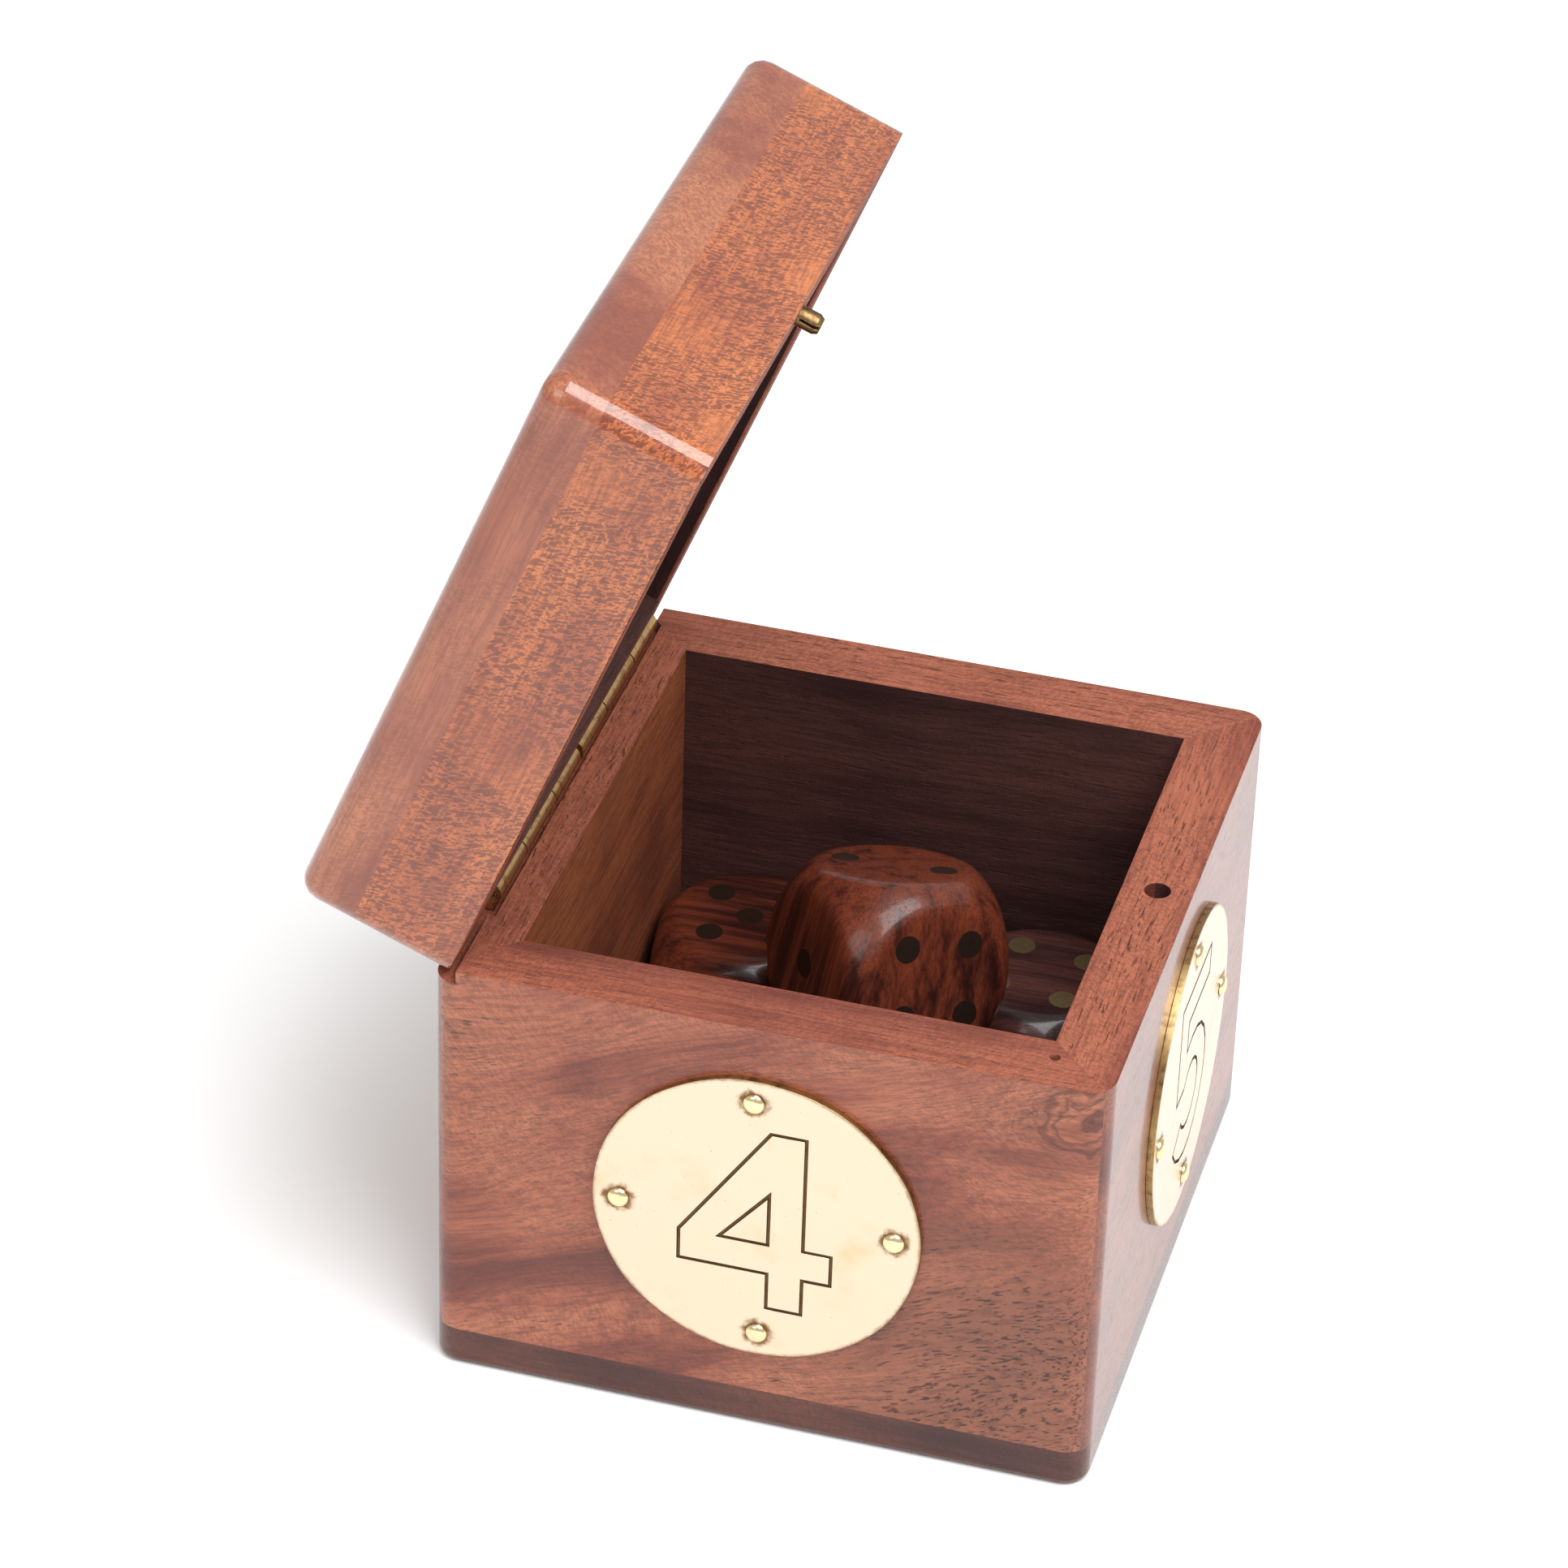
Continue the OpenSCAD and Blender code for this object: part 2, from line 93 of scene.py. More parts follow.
class Side(Enum):
    """A side of the box, by the way that it faces."""

    FRONT = (0, -1, 0)
    BACK = (0, 1, 0)
    CATCH = (1, 0, 0)
    HINGE = (-1, 0, 0)
    TOP = (0, 0, 1)
    BOTTOM = (0, 0, -1)

    @property
    def outward(self) -> Vector:
        """Return the side's outward direction."""
        return Vector(self.value)

    def mitres(self) -> tuple[Vector, Vector]:
        """Return the ways that the mitred ends of a board on this side look."""
        along = Vector((0, 0, 1)).cross(self.outward)
        return (along - self.outward).normalized(), (-along - self.outward).normalized()


class Run(Enum):
    """The way that the grain runs, as the turn that brings it onto X."""

    ACROSS = (0, 0, 0)
    DEEP = (0, 0, -math.pi / 2)
    UPRIGHT = (0, math.pi / 2, 0)


class Socket(Enum):
    """The kind of a node group's socket."""

    COLOUR = "NodeSocketColor"
    VALUE = "NodeSocketFloat"
    VECTOR = "NodeSocketVector"
    COUNT = "NodeSocketInt"
    GEOMETRY = "NodeSocketGeometry"


def lid_turn() -> Matrix:
    """Return the turn that takes the closed lid to where it stands."""
    to_line = Matrix.Translation(HINGE_LINE)
    return to_line @ Matrix.Rotation(-LID_TILT, 4, "Y") @ to_line.inverted()


def opaque(colour: Colour) -> tuple[float, float, float, float]:
    """Return a colour with full cover."""
    return (*colour, 1)


class NodeTable:
    """Short hand for building a shader tree or a node group."""

    # Where a colour mix has its two colours and its result
    FIRST_COLOUR = 6
    SECOND_COLOUR = 7
    MIXED_COLOUR = 2

    def __init__(self, tree: bpy.types.NodeTree) -> None:
        """Keep the tree that nodes are added to."""
        self.tree = tree

    def add(self, kind: str, inputs: dict[int | str, Feed] | None = None,
            **settings: object) -> bpy.types.Node:
        """Add a node, set it and feed its inputs.

        Args:
            kind: The node's type name.
            inputs: What feeds it, by the name or number of the input.
            settings: Attributes to set on it.

        Returns:
            The new node.
        """
        made = self.tree.nodes.new(kind)
        for name, value in settings.items():
            setattr(made, name, value)
        for socket, source in (inputs or {}).items():
            self.feed(made, socket, source)
        return made

    def feed(self, node: bpy.types.Node, socket: int | str, source: Feed) -> None:
        """Link a socket to another, or set its value.

        Args:
            node: The node that is fed.
            socket: The name or number of its input.
            source: An output socket or a plain value.
        """
        target = node.inputs[socket]
        if isinstance(source, bpy.types.NodeSocket):
            self.tree.links.new(source, target)
        else:
            target.default_value = source

    def math(self, how: str, first: Feed, second: Feed = 0.0) -> bpy.types.NodeSocket:
        """Add a Math node.

        Args:
            how: The operation.
            first: Its first input.
            second: Its second input.

        Returns:
            Its result.
        """
        return self.add("ShaderNodeMath", {0: first, 1: second}, operation=how).outputs[0]

    def times(self, first: Feed, second: Feed) -> bpy.types.NodeSocket:
        """Return the product of two values."""
        return self.math("MULTIPLY", first, second)

    def plus(self, first: Feed, second: Feed) -> bpy.types.NodeSocket:
        """Return the sum of two values."""
        return self.math("ADD", first, second)

    def minus(self, first: Feed, second: Feed) -> bpy.types.NodeSocket:
        """Return the difference of two values."""
        return self.math("SUBTRACT", first, second)

    def vector(self, how: str, first: Feed, second: Feed) -> bpy.types.NodeSocket:
        """Add a Vector Math node.

        Args:
            how: The operation.
            first: Its first input.
            second: Its second input.

        Returns:
            Its result, a vector.
        """
        node = self.add("ShaderNodeVectorMath", {0: first, 1: second}, operation=how)
        return node.outputs["Vector"]

    def scaled(self, vector: Feed, factor: Feed) -> bpy.types.NodeSocket:
        """Return a vector times a value."""
        node = self.add("ShaderNodeVectorMath", {0: vector, "Scale": factor}, operation="SCALE")
        return node.outputs["Vector"]

    def drawn(self, vector: Feed, factor: float) -> bpy.types.NodeSocket:
        """Return a vector with its X times a factor, which draws a pattern out along X."""
        return self.vector("MULTIPLY", vector, (factor, 1, 1))

    def length(self, vector: Feed) -> bpy.types.NodeSocket:
        """Return a vector's length."""
        return self.add("ShaderNodeVectorMath", {0: vector}, operation="LENGTH").outputs["Value"]

    def mix(self, share: Feed, first: Feed, second: Feed, how: str = "MIX") -> bpy.types.NodeSocket:
        """Mix two colours.

        Args:
            share: How much of the second colour shows.
            first: The first colour.
            second: The second colour.
            how: The blend mode.

        Returns:
            The mixed colour.
        """
        inputs = {0: share, self.FIRST_COLOUR: first, self.SECOND_COLOUR: second}
        node = self.add("ShaderNodeMix", inputs, data_type="RGBA", blend_type=how)
        return node.outputs[self.MIXED_COLOUR]

    def noise(self, where: Feed, scale: Feed, detail: float, rough: float = 0.5,
              out: str = "Fac") -> bpy.types.NodeSocket:
        """Add a Noise Texture.

        Args:
            where: The vector that it reads.
            scale: Its scale.
            detail: Its detail.
            rough: Its roughness.
            out: The output that is used.

        Returns:
            That output.
        """
        inputs = {"Vector": where, "Scale": scale, "Detail": detail, "Roughness": rough}
        return self.add("ShaderNodeTexNoise", inputs).outputs[out]

    def span(self, value: Feed, low: float, high: float) -> bpy.types.NodeSocket:
        """Map a value's range smoothly onto 0 to 1.

        Args:
            value: The value.
            low: Where the result starts to leave 0.
            high: Where it reaches 1.

        Returns:
            The mapped value.
        """
        inputs = {"Value": value, "From Min": low, "From Max": high}
        return self.add("ShaderNodeMapRange", inputs, interpolation_type="SMOOTHSTEP").outputs[0]


class GroupTable(NodeTable):
    """A new node group with named sockets."""

    def __init__(self, name: str, inputs: dict[str, tuple[Socket, Feed | None]], outputs: dict[str, Socket],
                 kind: str = "ShaderNodeTree") -> None:
        """Make the group and its sockets.

        Args:
            name: The group's name.
            inputs: For each input its kind and its default, if it has one.
            outputs: For each output its kind.
            kind: The type name of its tree.
        """
        super().__init__(bpy.data.node_groups.new(name, kind))
        sockets = self.tree.interface
        for label, (socket, default) in inputs.items():
            made = sockets.new_socket(name=label, in_out="INPUT", socket_type=socket.value)
            if default is not None:
                made.default_value = default
        for label, socket in outputs.items():
            sockets.new_socket(name=label, in_out="OUTPUT", socket_type=socket.value)
        self.given = self.add("NodeGroupInput").outputs
        self.out = self.add("NodeGroupOutput")


class MaterialTable(NodeTable):
    """A new material and its shader tree."""

    def __init__(self, name: str) -> None:
        """Make the material, whose patterns read the place on the piece.

        Args:
            name: The material's name.
        """
        self.material = bpy.data.materials.new(name)
        self.material.use_nodes = True
        super().__init__(self.material.node_tree)
        self.tree.nodes.clear()
        self.place = self.add("ShaderNodeTexCoord").outputs["Object"]

    def close(self, looks: dict[str, Feed], bump: dict[str, Feed]) -> bpy.types.Material:
        """Close the tree with its shader.

        Args:
            looks: What feeds the shader.
            bump: What feeds its bump.

        Returns:
            The material.
        """
        normal = self.add("ShaderNodeBump", bump).outputs[0]
        shader = self.add("ShaderNodeBsdfPrincipled", {**looks, "Normal": normal})
        self.add("ShaderNodeOutputMaterial", {"Surface": shader.outputs[0]})
        return self.material


class RosewoodGrain(GroupTable):
    """The shader group of rosewood: bands, fibres, curl, a knot, sapwood and pores.

    Its vector is in millimetres with the grain along X, and its scales are marks to the
    millimetre. A smaller draw makes a mark longer along the grain.
    """

    DRIFT_DRAW = 0.35
    DRIFT_SCALE = 0.035
    BAND_DRAW = 0.07
    BAND_SHARE = 0.6
    BROAD_SCALE = 0.04
    FIBRE_DRAW = 0.05
    FIBRE_SCALE = 2.6
    FIBRE_SHARE = 0.4
    FIBRE_HEIGHT = 0.5
    CURL_SLANT = (0, 0.45, 0.45)
    CURL_SHAPE = (1.5, 0.6, 0.5)
    CURL_SCALE = 1.25
    CURL_WEAR = 0.5
    PATCH_SCALE = 0.07
    KNOT_SHAPE = (0.6, 0.3, 1)
    KNOT_PULL = -0.75
    KNOT_WOBBLE = 1.1
    WOBBLE_SCALE = 0.3
    KNOT_SHARE = 0.8
    RING_SCALE = 2.6
    SAPWOOD_RAGGED = 1.6
    SAPWOOD_SHARE = 0.6
    STREAK_DRAW = 0.09
    STREAK_SCALE = 1.5
    STREAK_SHARE = 0.45
    PORE_DRAW = 0.13
    PORE_SCALE = 3.6
    PORE_DEPTH = 0.8
    PORE_WEAR = 0.5
    SAPWOOD_PORES = 0.05

    def __init__(self) -> None:
        """Make the group's sockets and build its layers."""
        white = (1, 1, 1, 1)
        inputs = {
            "Vector": (Socket.VECTOR, None),
            "Light": (Socket.COLOUR, white),
            "Middle": (Socket.COLOUR, white),
            "Dark": (Socket.COLOUR, white),
            "Flow": (Socket.VALUE, 4.0),
            "Band": (Socket.VALUE, 0.12),
            "Streak": (Socket.VALUE, 0.5),
            "Curl": (Socket.VALUE, 0.5),
            "Pores": (Socket.VALUE, 0.5),
            "Knot": (Socket.VECTOR, None),
            "Knot Size": (Socket.VALUE, 0.01),
            "Sapwood": (Socket.VECTOR, None),
            "Sapwood Size": (Socket.VALUE, 0.01),
            "Sapwood Color": (Socket.COLOUR, white),
        }
        outputs = {"Color": Socket.COLOUR, "Height": Socket.VALUE, "Wear": Socket.VALUE}
        super().__init__("rosewood_grain", inputs, outputs)
        self.place = self.given["Vector"]
        self.bent, self.knot = self.round_knot(self.drift())
        along = self.drawn(self.bent, self.BAND_DRAW)
        self.bands = self.noise(along, self.given["Band"], detail=7, rough=0.62)
        self.tone = self.soft_tone()
        along = self.drawn(self.bent, self.FIBRE_DRAW)
        self.fibres = self.noise(along, self.FIBRE_SCALE, detail=4, rough=0.65)
        self.curls = self.slanting_curls()
        self.sapwood = self.pale_zone()
        self.pores = self.dark_pores()
        self.feed(self.out, "Color", self.pierce(self.bleach(self.heartwood())))
        fibre_height = self.times(self.fibres, self.FIBRE_HEIGHT)
        self.feed(self.out, "Height", self.minus(fibre_height, self.times(self.pores, self.PORE_DEPTH)))
        curl_wear = self.times(self.curls, self.CURL_WEAR)
        self.feed(self.out, "Wear", self.plus(curl_wear, self.times(self.pores, self.PORE_WEAR)))

    def drift(self) -> bpy.types.NodeSocket:
        """Bend the place by the slow drift of the grain.

        Returns:
            The bent place.
        """
        sway = self.noise(self.drawn(self.place, self.DRIFT_DRAW), self.DRIFT_SCALE, detail=2, out="Color")
        centred = self.vector("SUBTRACT", sway, (0.5, 0.5, 0.5))
        return self.vector("ADD", self.place, self.scaled(centred, self.given["Flow"]))

    def round_knot(self, drifted: bpy.types.NodeSocket) -> tuple[bpy.types.NodeSocket, bpy.types.NodeSocket]:
        """Lead the grain round the knot.

        Args:
            drifted: The place with the drift of the grain.

        Returns:
            The place bent round the knot, and the knot's rings as a mask.
        """
        off = self.vector("SUBTRACT", self.place, self.given["Knot"])
        reach = self.length(self.vector("MULTIPLY", off, self.KNOT_SHAPE))
        ratio = self.math("DIVIDE", reach, self.given["Knot Size"])
        pull = self.times(self.span(ratio, low=2.6, high=0.0), self.KNOT_PULL)
        bent = self.vector("ADD", drifted, self.scaled(off, pull))
        wobble = self.times(self.noise(self.place, self.WOBBLE_SCALE, detail=2), self.KNOT_WOBBLE)
        swirl = self.add("ShaderNodeCombineXYZ", {"X": self.plus(ratio, wobble)}).outputs[0]
        rings = self.noise(swirl, self.RING_SCALE, detail=3, rough=0.6)
        knot = self.times(self.span(rings, low=0.42, high=0.62), self.span(ratio, low=1.9, high=0.9))
        return bent, knot

    def soft_tone(self) -> bpy.types.NodeSocket:
        """Return how light the wood is, from its bands and its broad clouds."""
        broad = self.noise(self.bent, self.BROAD_SCALE, detail=2)
        return self.plus(self.times(self.bands, self.BAND_SHARE), self.times(broad, 1 - self.BAND_SHARE))

    def slanting_curls(self) -> bpy.types.NodeSocket:
        """Draw the small curls that lie aslant the grain.

        Returns:
            Their height.
        """
        slant = self.add("ShaderNodeMapping", {"Vector": self.bent, "Rotation": self.CURL_SLANT}).outputs[0]
        wavy = self.vector("MULTIPLY", slant, self.CURL_SHAPE)
        return self.noise(wavy, self.CURL_SCALE, detail=3, rough=0.6)

    def pale_zone(self) -> bpy.types.NodeSocket:
        """Mask the sapwood, ragged along the bands.

        Returns:
            The mask.
        """
        away = self.length(self.vector("SUBTRACT", self.place, self.given["Sapwood"]))
        spread = self.math("DIVIDE", away, self.given["Sapwood Size"])
        ragged = self.times(self.minus(self.bands, 0.5), self.SAPWOOD_RAGGED)
        return self.span(self.plus(spread, ragged), low=1.25, high=0.35)

    def dark_pores(self) -> bpy.types.NodeSocket:
        """Mask the short dark pores, with more of them in the sapwood.

        Returns:
            The mask.
        """
        dashes = self.noise(self.drawn(self.bent, self.PORE_DRAW), self.PORE_SCALE, detail=2)
        more = self.times(self.sapwood, self.SAPWOOD_PORES)
        return self.span(self.plus(dashes, more), low=0.59, high=0.70)

    def darken(self, body: bpy.types.NodeSocket, share: bpy.types.NodeSocket) -> bpy.types.NodeSocket:
        """Return a colour with some of the dark one mixed in."""
        return self.mix(share, body, self.given["Dark"])

    def heartwood(self) -> bpy.types.NodeSocket:
        """Colour the heartwood, with its dark bands, curl, knot and fibres.

        Returns:
            The colour.
        """
        light = self.span(self.tone, low=0.40, high=0.60)
        body = self.mix(light, self.given["Middle"], self.given["Light"])
        body = self.darken(body, self.times(self.span(self.tone, low=0.50, high=0.37), self.given["Streak"]))
        ridge = self.math("ABSOLUTE", self.minus(self.curls, 0.5))
        curl = self.times(self.span(ridge, low=0.012, high=0.085), self.given["Curl"])
        patch = self.span(self.noise(self.place, self.PATCH_SCALE, detail=2), low=0.2, high=0.52)
        body = self.darken(body, self.times(curl, patch))
        body = self.darken(body, self.times(self.knot, self.KNOT_SHARE))
        return self.darken(body, self.times(self.span(self.fibres, low=0.42, high=0.62), self.FIBRE_SHARE))

    def bleach(self, body: bpy.types.NodeSocket) -> bpy.types.NodeSocket:
        """Lay the sapwood and its dark streaks over the heartwood.

        Args:
            body: The colour of the heartwood.

        Returns:
            The colour of both.
        """
        share = self.times(self.sapwood, self.SAPWOOD_SHARE)
        body = self.mix(share, body, self.given["Sapwood Color"])
        lines = self.noise(self.drawn(self.bent, self.STREAK_DRAW), self.STREAK_SCALE, detail=3, rough=0.6)
        streak = self.span(lines, low=0.48, high=0.62)
        return self.darken(body, self.times(streak, self.times(self.sapwood, self.STREAK_SHARE)))

    def pierce(self, body: bpy.types.NodeSocket) -> bpy.types.NodeSocket:
        """Set the pores in the paler wood.

        Args:
            body: The colour of the wood.

        Returns:
            The colour with its pores.
        """
        pale = self.math("MAXIMUM", self.span(self.tone, low=0.45, high=0.62), self.sapwood)
        shown = self.times(self.times(self.pores, pale), self.given["Pores"])
        return self.mix(shown, body, self.given["Dark"], "MULTIPLY")


class BrassTarnish(GroupTable):
    """The shader group of a brass plate's browning and scratches.

    The plate's own frame is given by its middle and two directions. Tarnish gathers
    round the nails, at the rim and in cloudy patches. Inside, lengths are in millimetres.
    """

    RIM = 18.8
    RAGGED = 1.8
    RAGGED_RIM = 0.3
    RIM_SHARE = 0.7
    PIT_SHARE = 0.55
    SCRATCH_TURN = (0, 0, 0.9)
    SCRATCH_SHAPE = (0.12, 5.0, 1)

    def __init__(self) -> None:
        """Make the group's sockets and build its marks."""
        inputs = {
            "Vector": (Socket.VECTOR, None),
            "Middle": (Socket.VECTOR, None),
            "Across": (Socket.VECTOR, Side.CATCH.value),
            "Up": (Socket.VECTOR, Side.TOP.value),
        }
        outputs = {"Stain": Socket.VALUE, "Scratch": Socket.VALUE, "Cloud": Socket.VALUE}
        super().__init__("brass_tarnish", inputs, outputs)
        off = self.vector("SUBTRACT", self.given["Vector"], self.given["Middle"])
        on_face = {"X": self.measured(off, "Across"), "Y": self.measured(off, "Up")}
        self.flat = self.add("ShaderNodeCombineXYZ", on_face).outputs[0]
        self.feed(self.out, "Stain", self.stain())
        cloud = self.noise(self.flat, scale=0.13, detail=3, rough=0.55)
        self.feed(self.out, "Cloud", self.span(cloud, low=0.52, high=0.9))
        slant = {"Vector": self.flat, "Rotation": self.SCRATCH_TURN, "Scale": self.SCRATCH_SHAPE}
        lines = self.noise(self.add("ShaderNodeMapping", slant).outputs[0], scale=1.4, detail=3, rough=0.7)
        self.feed(self.out, "Scratch", self.span(lines, low=0.55, high=0.7))

    def measured(self, off: bpy.types.NodeSocket, way: str) -> bpy.types.NodeSocket:
        """Return how far a place lies along one of the plate's directions, in millimetres."""
        along = self.add("ShaderNodeVectorMath", {0: off, 1: self.given[way]}, operation="DOT_PRODUCT")
        return self.times(along.outputs["Value"], TO_MM)

    def nearest_nail(self) -> bpy.types.NodeSocket:
        """Measure how far away the nearest nail is.

        Returns:
            The distance in millimetres.
        """
        reaches = []
        for nail in range(NAILS):
            turn = 2 * math.pi * nail / NAILS + NAIL_TURN
            middle = (NAIL_RING * TO_MM * math.cos(turn), NAIL_RING * TO_MM * math.sin(turn), 0)
            reaches.append(self.length(self.vector("SUBTRACT", self.flat, middle)))
        near = reaches[0]
        for reach in reaches[1:]:
            near = self.math("MINIMUM", near, reach)
        return near

    def stain(self) -> bpy.types.NodeSocket:
        """Mask the brown stain round the nails, at the rim and in pits.

        Returns:
            The mask.
        """
        wander = self.minus(self.noise(self.flat, scale=0.9, detail=3, rough=0.6), 0.5)
        shift = self.times(wander, self.RAGGED)
        at_nail = self.span(self.plus(self.nearest_nail(), shift), low=2.15, high=1.2)
        inset = self.minus(self.RIM, self.length(self.flat))
        at_rim = self.span(self.plus(inset, self.times(shift, self.RAGGED_RIM)), low=0.6, high=0.05)
        pits = self.span(self.noise(self.flat, scale=2.4, detail=2, rough=0.6), low=0.69, high=0.76)
        edges = self.math("MAXIMUM", at_nail, self.times(at_rim, self.RIM_SHARE))
        return self.math("MAXIMUM", edges, self.times(pits, self.PIT_SHARE))


@dataclass(frozen=True)
class PlateSeat:
    """Where a number plate lies, and the body that carries it."""

    number: str
    body: str
    middle: Vector
    across: Vector
    up: Vector

    @property
    def outward(self) -> Vector:
        """Return the way that the plate faces."""
        return self.across.cross(self.up)

    def matrix(self) -> Matrix:
        """Return the frame of the plate, with its face towards +Z."""
        turned = Matrix((self.across, self.up, self.outward)).transposed().to_4x4()
        return Matrix.Translation(self.middle) @ turned

    def on_face(self, point: Vector) -> Vector:
        """Return how a point lies off the plate's middle, seen flat on."""
        off = point - self.middle
        return off - self.outward * off.dot(self.outward)


@dataclass(frozen=True)
class Mark:
    """The middle and the size of a knot or of a pale zone."""

    middle: Triple
    size: float


@dataclass(frozen=True)
class WoodFinish:
    """A wood surface: its colours, its figure and its coat.

    Its relief is in millimetres.
    """

    name: str
    light: Colour
    middle: Colour
    dark: Colour
    flow: float = 5.0
    band: float = 0.10
    streak: float = 0.6
    curl: float = 0.25
    pores: float = 0.6
    rough: float = 0.32
    worn_rough: float = 0.2
    sheen: float = 0.25
    coat: float = 0.7
    coat_rough: float = 0.09
    relief: float = 0.05
    bump: float = 0.6
    sapwood: Colour = (0.25, 0.098, 0.056)
    seed_steps: Triple = (31, 17, 23)

    def make(self, suffix: str, run: Run, grain: bpy.types.NodeTree, seed: float, on_lid: bool = False,
             tip: float = 0.0, marks: dict[str, Mark] | None = None) -> bpy.types.Material:
        """Make this finish as a material for one piece.

        Args:
            suffix: What the material is for.
            run: The way that the grain runs.
            grain: The shared grain group.
            seed: Shifts the figure, so that no two boards match.
            on_lid: Whether the piece stands open with the lid.
            tip: A small turn of the grain in the plane of the board.
            marks: The knot and the pale zone of a board that has them.

        Returns:
            The material.
        """
        table = MaterialTable(f"{self.name}_{suffix}")
        place = table.place
        if on_lid:
            closed = {"Vector": place, "Rotation": (0, LID_TILT, 0)}
            place = table.add("ShaderNodeMapping", closed).outputs[0]
        turn = Euler((run.value[0], run.value[1] + tip, run.value[2] + tip / 2))
        shift = Vector([step * seed for step in self.seed_steps])
        laid = {"Vector": place, "Scale": (TO_MM, TO_MM, TO_MM), "Rotation": turn, "Location": shift}
        figure = table.add("ShaderNodeGroup", node_tree=grain)
        for label, value in self.figure_values().items():
            table.feed(figure, label, value)
        table.feed(figure, "Vector", table.add("ShaderNodeMapping", laid).outputs[0])
        for label, mark in (marks or {}).items():
            table.feed(figure, label, turn.to_matrix() @ (Vector(mark.middle) * TO_MM) + shift)
            table.feed(figure, f"{label} Size", mark.size * TO_MM)
        worn = table.times(figure.outputs["Wear"], self.worn_rough)
        looks = {
            "Base Color": figure.outputs["Color"],
            "Roughness": table.plus(worn, self.rough - self.worn_rough / 2),
            "Specular IOR Level": self.sheen,
            "Coat Weight": self.coat,
            "Coat Roughness": self.coat_rough,
        }
        bump = {"Strength": self.bump, "Distance": self.relief * MM, "Height": figure.outputs["Height"]}
        return table.close(looks, bump)

    def figure_values(self) -> dict[str, Feed]:
        """Return what this finish feeds to the grain group."""
        return {
            "Light": opaque(self.light),
            "Middle": opaque(self.middle),
            "Dark": opaque(self.dark),
            "Flow": self.flow,
            "Band": self.band,
            "Streak": self.streak,
            "Curl": self.curl,
            "Pores": self.pores,
            "Sapwood Color": opaque(self.sapwood),
        }


@dataclass(frozen=True)
class BrassFinish:
    """A brass surface: its clean, warm and tarnished colours and its polish.

    Its relief is in millimetres, and its scales are marks to the metre.
    """

    name: str
    clean: Colour
    dull: Colour
    rough: float = 0.25
    speckle: float = 0.4
    warm: Colour = (0.64, 0.47, 0.26)
    grit_scale: float = 900
    grit_rough: float = 0.12
    grit_height: float = 0.3
    stain_rough: float = 0.25
    uneven_scale: float = 260
    uneven_height: float = 4.0
    bump: float = 0.25
    relief: float = 0.02

    def make(self, suffix: str) -> bpy.types.Material:
        """Make this finish as a speckled material.

        Args:
            suffix: What the material is for.

        Returns:
            The material.
        """
        table = MaterialTable(f"{self.name}_{suffix}")
        grit = self.grit(table)
        stain = table.times(table.span(grit, low=0.45, high=0.7), self.speckle)
        colour = table.mix(stain, opaque(self.clean), opaque(self.dull))
        return self.close(table, colour, self.polish(table, grit), grit)

    def make_plate(self, plate: PlateSeat, tarnish: bpy.types.NodeTree) -> bpy.types.Material:
        """Make this finish as the material of a number plate.

        Args:
            plate: The plate's seat.
            tarnish: The shared tarnish group.

        Returns:
            The material.
        """
        table = MaterialTable(f"{self.name}_{plate.number}")
        grit = self.grit(table)
        seat_values = {"Vector": table.place, "Middle": plate.middle, "Across": plate.across, "Up": plate.up}
        marks = table.add("ShaderNodeGroup", seat_values, node_tree=tarnish).outputs
        colour = table.mix(marks["Cloud"], opaque(self.clean), opaque(self.warm))
        colour = table.mix(marks["Stain"], colour, opaque(self.dull))
        rough = table.plus(self.polish(table, grit), table.times(marks["Stain"], self.stain_rough))
        uneven = table.noise(table.place, self.uneven_scale, detail=2)
        height = table.minus(table.times(grit, self.grit_height), marks["Scratch"])
        height = table.plus(height, table.times(uneven, self.uneven_height))
        return self.close(table, colour, rough, height)

    def grit(self, table: MaterialTable) -> bpy.types.NodeSocket:
        """Return the fine grit of the metal."""
        return table.noise(table.place, self.grit_scale, detail=4, rough=0.6)

    def polish(self, table: MaterialTable, grit: bpy.types.NodeSocket) -> bpy.types.NodeSocket:
        """Return the roughness with the grit in it."""
        return table.plus(table.times(grit, self.grit_rough), self.rough - self.grit_rough / 2)

    def close(self, table: MaterialTable, colour: bpy.types.NodeSocket, rough: bpy.types.NodeSocket,
              height: bpy.types.NodeSocket) -> bpy.types.Material:
        """Close a brass material.

        Args:
            table: Its table.
            colour: Its colour.
            rough: Its roughness.
            height: The height of its surface.

        Returns:
            The material.
        """
        looks = {"Metallic": 1.0, "Base Color": colour, "Roughness": rough}
        return table.close(looks, {"Strength": self.bump, "Distance": self.relief * MM, "Height": height})


